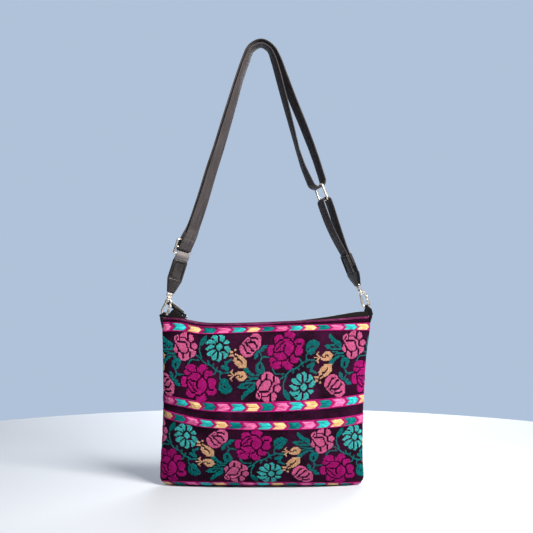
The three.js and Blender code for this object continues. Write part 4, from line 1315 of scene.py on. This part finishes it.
# The eye's post, as radius and height above its foot, and half the web between its wires
EYE_POST = [
    (1.2, -5), (2.0, -4.7), (2.1, -4.1), (1.8, -3.6), (1.4, -3.4), (1.4, 0), (2.3, 0), (2.6, 0.3), (2.6, 1.4),
    (1.7, 2.2), (1.2, 3.4),
]
EYE_SIDE = EYE_HALF - EYE_WIRE
EYE_WEB = [(1.4, EYE_LOW + 2.4), (2.4, EYE_LOW + 3.6), (EYE_SIDE, EYE_LOW + 5.4), (EYE_SIDE, EYE_WEB_HIGH)]
EYE_CORNER = 1.3
WEB_HALF = 1.3


def mirrored(half):
    """A line in X and Z, followed by its mirror image from the last point back."""
    return half + [(-x, z) for x, z in half[::-1]]


def clasp_eye(side_name):
    """A cast eye on a turned, riveted post."""
    place = strap_place[side_name]
    foot = EYE_LOW + 2
    half = arc((EYE_SIDE - EYE_CORNER, EYE_BAR - EYE_CORNER), EYE_CORNER, 90, 0, 7)
    half += [(EYE_SIDE, z) for z in np.linspace(EYE_BAR - 2, foot + 3.6, 7)]
    for t in np.linspace(0.12, 1, 8):
        half.append((EYE_SIDE * (1 - t * t) + 1.2 * t * t, foot + 3.4 * (1 - t) ** 2))
    shape = Shape().take(*level_wire(mirrored(half), EYE_WIRE, closed=True), matrix=place)
    shape.take(*turned([(radius, EYE_LOW + height) for radius, height in EYE_POST]), matrix=place)
    shape.take(*bevelled(mirrored(EYE_WEB), -WEB_HALF, WEB_HALF, 0.5), matrix=place)
    carry(shape.piece(f"eye_{side_name}", METAL), "bag", f"clasp_eye_{side_name}")


for side_name in SIDES:
    clasp_hook(side_name)
    clasp_gate(side_name)
    clasp_eye(side_name)

# Strap hardware: heights are along the side, as for the clasps
WEBBING_WIDTH = 20
WEBBING_THICK = 1.6
BAR = 1.5
MIDDLE_BAR = 1.2
FRAME_CORNER = 1.9
SLIDER_BARS = (81, 91, 101)
SLIDER_TWIST = 12
SLIDER_ASIDE = -2
RING_BARS = (153.5, 174.5)
RING_HALF = WEBBING_WIDTH / 2 + 0.7 + BAR
SLIDER_HALF = RING_HALF - 0.5


def bar_frame(half, low, high):
    """A rounded frame of round bar."""
    path = arc((half - FRAME_CORNER, high - FRAME_CORNER), FRAME_CORNER, 90, 0, 7)
    path += [(half, z) for z in np.linspace(high - FRAME_CORNER - 1, low + FRAME_CORNER + 1, 5)]
    path += arc((half - FRAME_CORNER, low + FRAME_CORNER), FRAME_CORNER, 0, -90, 7)
    return level_wire(mirrored(path), BAR, closed=True)


def strap_hardware():
    """The square ring, and the three-bar slider, which hangs twisted and a little aside."""
    ring = Shape().take(*bar_frame(RING_HALF, *RING_BARS), matrix=strap_place["right"])
    carry(ring.piece("square_ring", METAL), "bag", "strap_ring")
    low, middle, high = SLIDER_BARS
    place = strap_place["left"] @ rotation(SLIDER_TWIST, "Z") @ Matrix.Translation((SLIDER_ASIDE, 0, 0))
    slider = Shape().take(*bar_frame(SLIDER_HALF, low, high), matrix=place)
    middle_path = [(x, middle) for x in np.linspace(-SLIDER_HALF, SLIDER_HALF, 5)]
    slider.take(*level_wire(middle_path, MIDDLE_BAR), matrix=place)
    carry(slider.piece("three_bar_slider", METAL), "bag", "strap_slider")


strap_hardware()

# Leather tab: heights along the side and the strip's width, from the eye to its top
LEATHER_WIDTHS = np.array([
    (26.8, 6.4), (27.6, 8.4), (28.4, 9.4), (46.4, 19.6), (47, 20), (72.2, 20), (73.3, 19.2), (74, 17),
])
LEATHER_HEIGHTS = np.concatenate([
    [74, 73.6, 73.2, 72.6], np.linspace(72, 48.4, 30), np.linspace(48, 46.4, 9),
    np.linspace(46, EYE_BAR + 0.4, 16),
])
LEATHER_WIDTH = 20
LEATHER_TOP = 74
LEATHER_THICK = 1.4
LEATHER_CORNER = 4
# The layers change their distance over this height above the eye, and both step out below the fold line
LEATHER_PARTING = 14
FOLD_LINE = 47
FOLD_STEP = 0.65
# The pressed bead and the sewing lie inside the edge, down to a height
BEAD_INSET = 1.5
BEAD_WIRE = 0.75
SEWING_INSET = 3.1
SEWING_LOW = 49.5


def leather_edge(inset):
    """A line inside the leather's edge, up one side and down the other, as x and height."""
    wide = LEATHER_WIDTH / 2 - inset
    high = LEATHER_TOP - LEATHER_CORNER - inset
    half = [(-wide, z) for z in np.linspace(SEWING_LOW, high, 12)]
    half += arc((LEATHER_CORNER - wide, high), LEATHER_CORNER, 180, 90, 7)
    return np.array(mirrored(half)).T


def leather_tab(side_name, opening):
    """A leather strip folded through the eye round the webbing's end, with a bead and sewing on its faces."""
    place = strap_place[side_name]
    reach = EYE_WIRE + 0.2 + LEATHER_THICK / 2
    half = opening / 2 + 0.3 + LEATHER_THICK / 2

    def layer(side, heights):
        """Points down the middle of one layer."""
        above = heights - EYE_BAR
        step = FOLD_STEP * np.clip((FOLD_LINE - heights) / 0.6, 0, 1) * np.clip(above / 6, 0, 1)
        parted = ease(np.clip(above / LEATHER_PARTING, 0, 1))
        return spots_at(0, side * (reach + (half - reach) * parted + step), heights)

    def on_face(side, inset):
        """Points inside the edge on the outer face of one layer."""
        x, heights = leather_edge(inset)
        return layer(side, heights) + spots_at(x, side * (LEATHER_THICK / 2 - 0.1), 0)

    angles = np.linspace(0, math.pi, 17)
    fold = spots_at(0, -reach * np.cos(angles), EYE_BAR - reach * np.sin(angles))
    points = np.concatenate([layer(-1, LEATHER_HEIGHTS), fold, layer(1, LEATHER_HEIGHTS[::-1])])
    widths = np.interp(points[:, 2], LEATHER_WIDTHS[:, 0], LEATHER_WIDTHS[:, 1])
    shape = Shape().take(*sweep(points, (1, 0, 0), widths, flat_ring(LEATHER_THICK, 0.45)), matrix=place)
    sewing = Shape()
    for side in (-1, 1):
        bead = sweep(on_face(side, BEAD_INSET), (0, 1, 0), 1, round_ring(BEAD_WIRE, 8))
        shape.take(*bead, matrix=place)
        sewing.take(*sewn_row(on_face(side, SEWING_INSET), (0, side, 0), 2.6, 0.5, 0.5), matrix=place)
    carry(shape.piece(f"leather_tab_{side_name}", LEATHER), "bag", f"strap_tab_{side_name}")
    carry(sewing.piece(f"leather_sewing_{side_name}", LEATHER_THREAD), "bag")


leather_tab("left", WEBBING_THICK)
leather_tab("right", 3.4 + WEBBING_THICK)

# Webbing: the long run's middle line by x and z, how its inner and outer layers are turned and lie apart
ROUTE = np.array([
    (-89.6, -239.2, 46, 46, 2.8), (-84.4, -224, 48, 48, 3.2), (-77.3, -201.5, 51.5, 51.5, 3.6),
    (-68.2, -170.7, 54, 54, 3.7), (-57.6, -138, 57.5, 57.5, 3.7), (-47.9, -105.4, 60.2, 60.2, 3.6),
    (-38.2, -72.8, 64.6, 64.6, 3.6), (-30.2, -45.6, 68.8, 68.8, 3.2), (-20.8, -18.6, 69.6, 69.6, 3.2),
    (-13.6, -2.8, 76, 76, 4.2), (0, 4.4, 82, 82, 5.4), (12.6, -2.4, 78, 76, 5.2), (20, -17.4, 70, 66, 6.2),
    (27.4, -40.1, 68, 62, 8), (37.9, -72.8, 70, 61, 12), (49, -105.4, 74, 63, 16.8),
    (59.6, -138, 79, 65, 20.8), (66.8, -159.8, 74, 67, 21.4),
])
# Heights along the left side and distances to the front: the sewn end round the slider's middle bar
SEWN_END = [
    (112, 2.4), (103, 2.4), (100.6, 2.4), (98.2, 1.4), (96, -0.6), (93.6, -2), (92.3, -2.45), (91, -2.5),
    (89.75, -2.2), (88.83, -1.25), (88.5, 0), (88.83, 1.25), (89.75, 2.2), (91, 2.5), (94, 2.9), (98, 3.9),
    (101, 4.4), (112, 4.4), (119, 2.5),
]
# The running end: behind the slider, forward over its lower bar and into the leather
RUNNING_END = [
    (119, -1.7), (109, -2.3), (101, -2.4), (96, -3.5), (92.5, -4.3), (89.6, -3.9), (87.2, -2.2), (84.8, 0.3),
    (82.8, 2.1), (81, 2.6), (78.8, 1.9), (76.6, 0.6), (74, 0), (56, 0),
]
RING_TURN = 9.5
LOOP_TURN = 6
BAR_REACH = BAR + 0.45 + WEBBING_THICK / 2
LOOP_LEG = [(56, 1.7), (73, 1.7), (84, 2.4), (100, 4), (120, 5.4), (136, LOOP_TURN)]
STEPS_EACH = 3
# By height along the side: how far the strap lies aside and is twisted above the slider, and the loop's bow
STRAIGHT = np.array([(0, 0, 0), (1, 0, 0)])
SLIDER_BEND = np.array([
    (56, 0, 0), (74, 0, 1), (81, 0, 7), (91, 0, 13), (98, 0, 14), (104, 0.3, 17), (112, 1.6, 22),
    (119, 3.3, 24.5),
])
LOOP_BOW = np.array([(56, 0), (74, 0), (84, 0.8), (100, 1.4), (120, 1.4), (136, 0.7), (150, 0)])
# Painted highlight: between two heights the webbing's front face is a lighter copy, where it turns up over
# the slider's lower bar towards the light
HIGHLIGHT_LOW = 75
HIGHLIGHT_HIGH = 88
# Sewing across the webbing where its end is turned back
SEWING_ROWS = (103.6, 109.4)
SEWING_HALF = 8.6
SEWING_FRONT = 5.2


def side_run(side_name, rows, bend=STRAIGHT):
    """Points and the direction across for rows of height and distance out, on one side of the strap."""
    points, across = [], []
    for up, out in rows:
        aside, twist = (float(read_table(bend, column, up)) for column in (1, 2))
        place = strap_place[side_name] @ rotation(twist, "Z")
        points.append(tuple(place @ Vector((aside, out, up))))
        across.append(tuple(place.to_3x3() @ Vector((1, 0, 0))))
    return np.array(points), np.array(across)


def route_run(layer):
    """Points and directions across for a layer of the long run: 1 is the inner layer, -1 the outer."""
    rows = smooth_path(spots_at(ROUTE[:, 0], 0, ROUTE[:, 1]), STEPS_EACH)
    place = np.linspace(0, len(ROUTE) - 1, len(rows))
    column = 2 if layer > 0 else 3
    turn = np.radians(np.interp(place, np.arange(len(ROUTE)), ROUTE[:, column]))[:, None]
    apart = np.interp(place, np.arange(len(ROUTE)), ROUTE[:, 4])[:, None]
    along = unit(np.gradient(rows, axis=0))
    inward = spots_at(along[:, 2], 0, -along[:, 0])
    forward = np.array([0.0, 1, 0])
    across = np.cos(turn) * inward + np.sin(turn) * forward
    face = np.sin(turn) * inward - np.cos(turn) * forward
    return rows + layer * apart / 2 * face, across


def webbing_piece(name, runs, node, *materials):
    """Webbing along runs of points, made smooth where they are coarse."""
    points = np.concatenate([run[0] for run in runs])
    across = np.concatenate([run[1] for run in runs])
    path = smooth_path(points, STEPS_EACH)
    share = np.linspace(0, len(points) - 1, len(path))
    aim = np.stack([np.interp(share, np.arange(len(points)), across[:, axis]) for axis in range(3)], 1)
    shape = Shape().take(*sweep(path, aim, WEBBING_WIDTH, flat_ring(WEBBING_THICK, 0.7)))
    return carry(shape.piece(name, *materials), "bag", node)


def half_turn(middle, radius, over):
    """Rows of a half turn round a bar, over it or under it."""
    angles = np.linspace(0, math.pi, 15)
    return [(middle + over * radius * math.sin(a), radius * math.cos(a)) for a in angles]


def long_webbing():
    """The long webbing, from its end sewn round the slider's middle bar to the left leather tab."""
    sewn, running = (
        side_run("left", [(up, -out) for up, out in rows], SLIDER_BEND) for rows in (SEWN_END, RUNNING_END)
    )
    ring_middle = RING_BARS[1] - BAR_REACH + RING_TURN
    ring_turn = side_run("right", half_turn(ring_middle, RING_TURN, -1))
    outer = [rows[::-1] for rows in route_run(-1)]
    runs = [sewn, route_run(1), ring_turn, outer, running]
    made = webbing_piece("long_webbing", runs, "strap_webbing", WEBBING, WEBBING_PAINTED_HIGHLIGHT)
    to_side = strap_place["left"].inverted()
    # Front faces between the two heights get the lighter webbing, a painted highlight
    for face in made.data.polygons:
        spot = to_side @ (face.center / MM)
        if HIGHLIGHT_LOW < spot.z < HIGHLIGHT_HIGH and spot.y < 0 and abs(spot.x) < WEBBING_WIDTH:
            face.material_index = 1


def short_loop():
    """The short webbing loop between the ring and the right leather tab."""
    near_leg = [(up, float(read_table(LOOP_BOW, 1, up)) + out) for up, out in LOOP_LEG]
    far_leg = [(up, float(read_table(LOOP_BOW, 1, up)) - out) for up, out in LOOP_LEG[::-1]]
    turn = half_turn(RING_BARS[0] + BAR_REACH - LOOP_TURN, LOOP_TURN, 1)
    webbing_piece("short_webbing_loop", [side_run("right", near_leg + turn + far_leg)], "strap_loop", WEBBING)


def webbing_sewing():
    """Rows of sewing across the webbing's turned end."""
    shape = Shape()
    for up in SEWING_ROWS:
        aside, twist = (float(read_table(SLIDER_BEND, column, up)) for column in (1, 2))
        ends = [(aside + half, -SEWING_FRONT, up) for half in (-SEWING_HALF, SEWING_HALF)]
        shape.take(*sewn_row(ends, (0, -1, 0)), matrix=strap_place["left"] @ rotation(twist, "Z"))
    carry(shape.piece("webbing_sewing", WEBBING_THREAD), "bag")


long_webbing()
short_loop()
webbing_sewing()

# Ribbon tabs at the corners
LOOP_RADIUS = 2.9
LOOP_WIDTH = 4.6
LOOP_ASIDE = PIVOT_X - HOOK_HALF
LOOP_DROP = 3.1
RIBBON_THICK = 1.2
RIBBON_SPREAD = 5.6
FOOT_ASIDE = 1.2
FOOT_RISE = 1.7
BASE_ASIDE = 3.6
BASE_DEPTH = 2.7
BASE_HEIGHT = 2.6
SLEEVE_ROWS = 15
SLEEVE_COLUMNS = 13
SLEEVE_RISE = 2.8
SLEEVE_CLEAR = 0.45


def ribbon_loop(edge, edge_x, hem, place):
    """A ribbon over the hook's bar whose legs spread to the hem, as a skin."""
    hook_across = np.array(place.to_3x3() @ Vector((1, 0, 0)))
    shares = np.linspace(0.12, 1, 9)

    def leg(face):
        """Points, directions across and widths from the bar down to the hem."""
        top = np.array(place @ Vector((LOOP_ASIDE, face * LOOP_RADIUS, -LOOP_DROP)))
        foot = np.array([edge_x - edge * FOOT_ASIDE, face * 0.9, hem + FOOT_RISE])
        points = top + (foot - top) * shares[:, None]
        points[:, 1] = top[1] + (foot[1] - top[1]) * ease(shares)
        across = hook_across + (np.array([1, 0, 0]) - hook_across) * shares[:, None]
        return points, across, LOOP_WIDTH + RIBBON_SPREAD * np.minimum(3 * shares, 1)

    angles = np.linspace(0, math.pi, 17)
    bend = spots_at(LOOP_ASIDE, -LOOP_RADIUS * np.cos(angles), LOOP_RADIUS * np.sin(angles) - LOOP_DROP)
    over = np.array([place @ Vector(spot) for spot in bend])
    top = (over, np.broadcast_to(hook_across, over.shape), np.full(len(over), LOOP_WIDTH))
    near_leg = [rows[::-1] for rows in leg(-1)]
    points, across, widths = (np.concatenate(rows) for rows in zip(near_leg, top, leg(1)))
    return sweep(points, across, widths, flat_ring(RIBBON_THICK, 0.4))


def ribbon_sleeve(edge, hem, length):
    """A sleeve round the top of a side seam, thinner towards its lower end."""
    outer, inner = [], []
    share = np.linspace(-1, 1, SLEEVE_COLUMNS)
    turn_in = edge * (1 - 0.012 * share * share)
    away = unit(spots_at(edge, share * 1.3, 0))
    for drop in np.linspace(length, -SLEEVE_RISE, SLEEVE_ROWS):
        thick = 0.3 + 2.1 * ease(np.clip((length - drop) / length, 0, 1))
        height = np.full(SLEEVE_COLUMNS, min(BAG_HEIGHT - drop, BAG_HEIGHT))
        near_side, far_side = (bag_point(turn_in, height, 0, side) for side in (-1, 1))
        spots = np.where(share[:, None] < 0, near_side, far_side)
        spots[SLEEVE_COLUMNS // 2, 1] = 0
        spots[:, 2] = hem - drop
        inner.append(spots + away * SLEEVE_CLEAR)
        outer.append(spots + away * (SLEEVE_CLEAR + thick))
    flat = 2 * [(1.9 * row, 1.4 * column) for row in range(SLEEVE_ROWS) for column in range(SLEEVE_COLUMNS)]
    return *wall_between(np.array(outer), np.array(inner))[:2], flat


def corner_tab(edge, side_name, sleeve):
    """A grosgrain ribbon: a loop over the hook's bar, a folded base and a sleeve down the side seam."""
    edge_x = LEVELS[-1][1] if edge < 0 else LEVELS[-1][2]
    hem = float(top_edge(edge_x))
    run = np.linspace(-RIBBON_SPREAD, RIBBON_SPREAD, 9)
    base = spots_at(edge_x - edge * BASE_ASIDE + run, 0, hem + FOOT_RISE)
    shape = Shape().take(*ribbon_loop(edge, edge_x, hem, side_place[side_name]))
    shape.take(*sweep(base, (0, 1, 0), BASE_DEPTH, flat_ring(BASE_HEIGHT, 0.7)))
    shape.take(*ribbon_sleeve(edge, hem, sleeve))
    carry(shape.piece(f"ribbon_tab_{side_name}", RIBBON), "bag", f"corner_tab_{side_name}")


corner_tab(-1, "left", 14)
corner_tab(1, "right", 9)

# CAD pieces that show as they are
SLOT_LOOKS = {
    "velvet": VELVET, "zip_cloth": ZIP_CLOTH, "zip_plastic": ZIP_PLASTIC, "ribbon": RIBBON,
    "webbing": WEBBING, "leather": LEATHER, "metal": METAL,
}
node_slots = {row["node"]: row["material_slot"] for row in frame["record"]["subparts"]}
for node, piece in frame["nodes"].items():
    piece.data.materials.clear()
    piece.data.materials.append(SLOT_LOOKS[node_slots[node]])

# Stage, in metres
FLOOR_RADIUS = 0.8
FLOOR_THICK = 0.004
FLOOR_MIDDLE = -0.5979
ROOM_COLOUR = "#b0c2d9"
ROOM_DIM = 0.063
BAG_MIDDLE = (0, 0, -0.42)


def lay_floor():
    """A pale round floor under the bag."""
    bpy.ops.mesh.primitive_cylinder_add(
        vertices=96, radius=FLOOR_RADIUS, depth=FLOOR_THICK, location=(0, 0, FLOOR_MIDDLE),
    )
    floor = bpy.context.object
    floor.name = "floor"
    paper = start_material("floor_paper", Roughness=0.9, Base_Color=linear("#c3cbd6"))[0]
    floor.data.materials.append(paper)


def light_room():
    """An even pale wall to look at; its light comes from behind the bag, and it is dim in front."""
    scene.world = bpy.data.worlds.new("room")
    scene.world.use_nodes = True
    tree = scene.world.node_tree
    wall = tree.nodes["Background"].inputs
    wall["Color"].default_value = linear(ROOM_COLOUR)
    place = add(tree, "ShaderNodeTexCoord", {}).outputs["Generated"]
    aim = add(tree, "ShaderNodeSeparateXYZ", {"Vector": place})
    glow = add(tree, "ShaderNodeMapRange", {
        "Value": aim.outputs["Y"], "From Min": 0.5, "From Max": 0.93, "To Min": ROOM_DIM, "To Max": 1,
    })
    ray = add(tree, "ShaderNodeLightPath", {})
    add(tree, "ShaderNodeMath", {0: glow.outputs[0], 1: ray.outputs["Is Camera Ray"]},
        to=wall["Strength"], operation="MAXIMUM")


def soft_light(name, place, size, watts, colour):
    """A square area light that looks at the bag."""
    data = bpy.data.lights.new(name, "AREA")
    data.size = size
    data.energy = watts
    data.color = linear(colour)[:3]
    made = bpy.data.objects.new(name, data)
    made.location = place
    made.rotation_euler = (Vector(BAG_MIDDLE) - Vector(place)).to_track_quat("-Z", "Y").to_euler()
    made.visible_camera = False
    scene.collection.objects.link(made)


lay_floor()
light_room()
soft_light("key_light", (0.52, -0.66, 0.4), 0.5, 31, "#fff7ee")
soft_light("fill_light", (-0.5, -1.6, -0.1), 1.0, 2.2, "#eaf1ff")
soft_light("back_light", (0.2, 1.2, 0.15), 0.8, 17, "#ffffff")
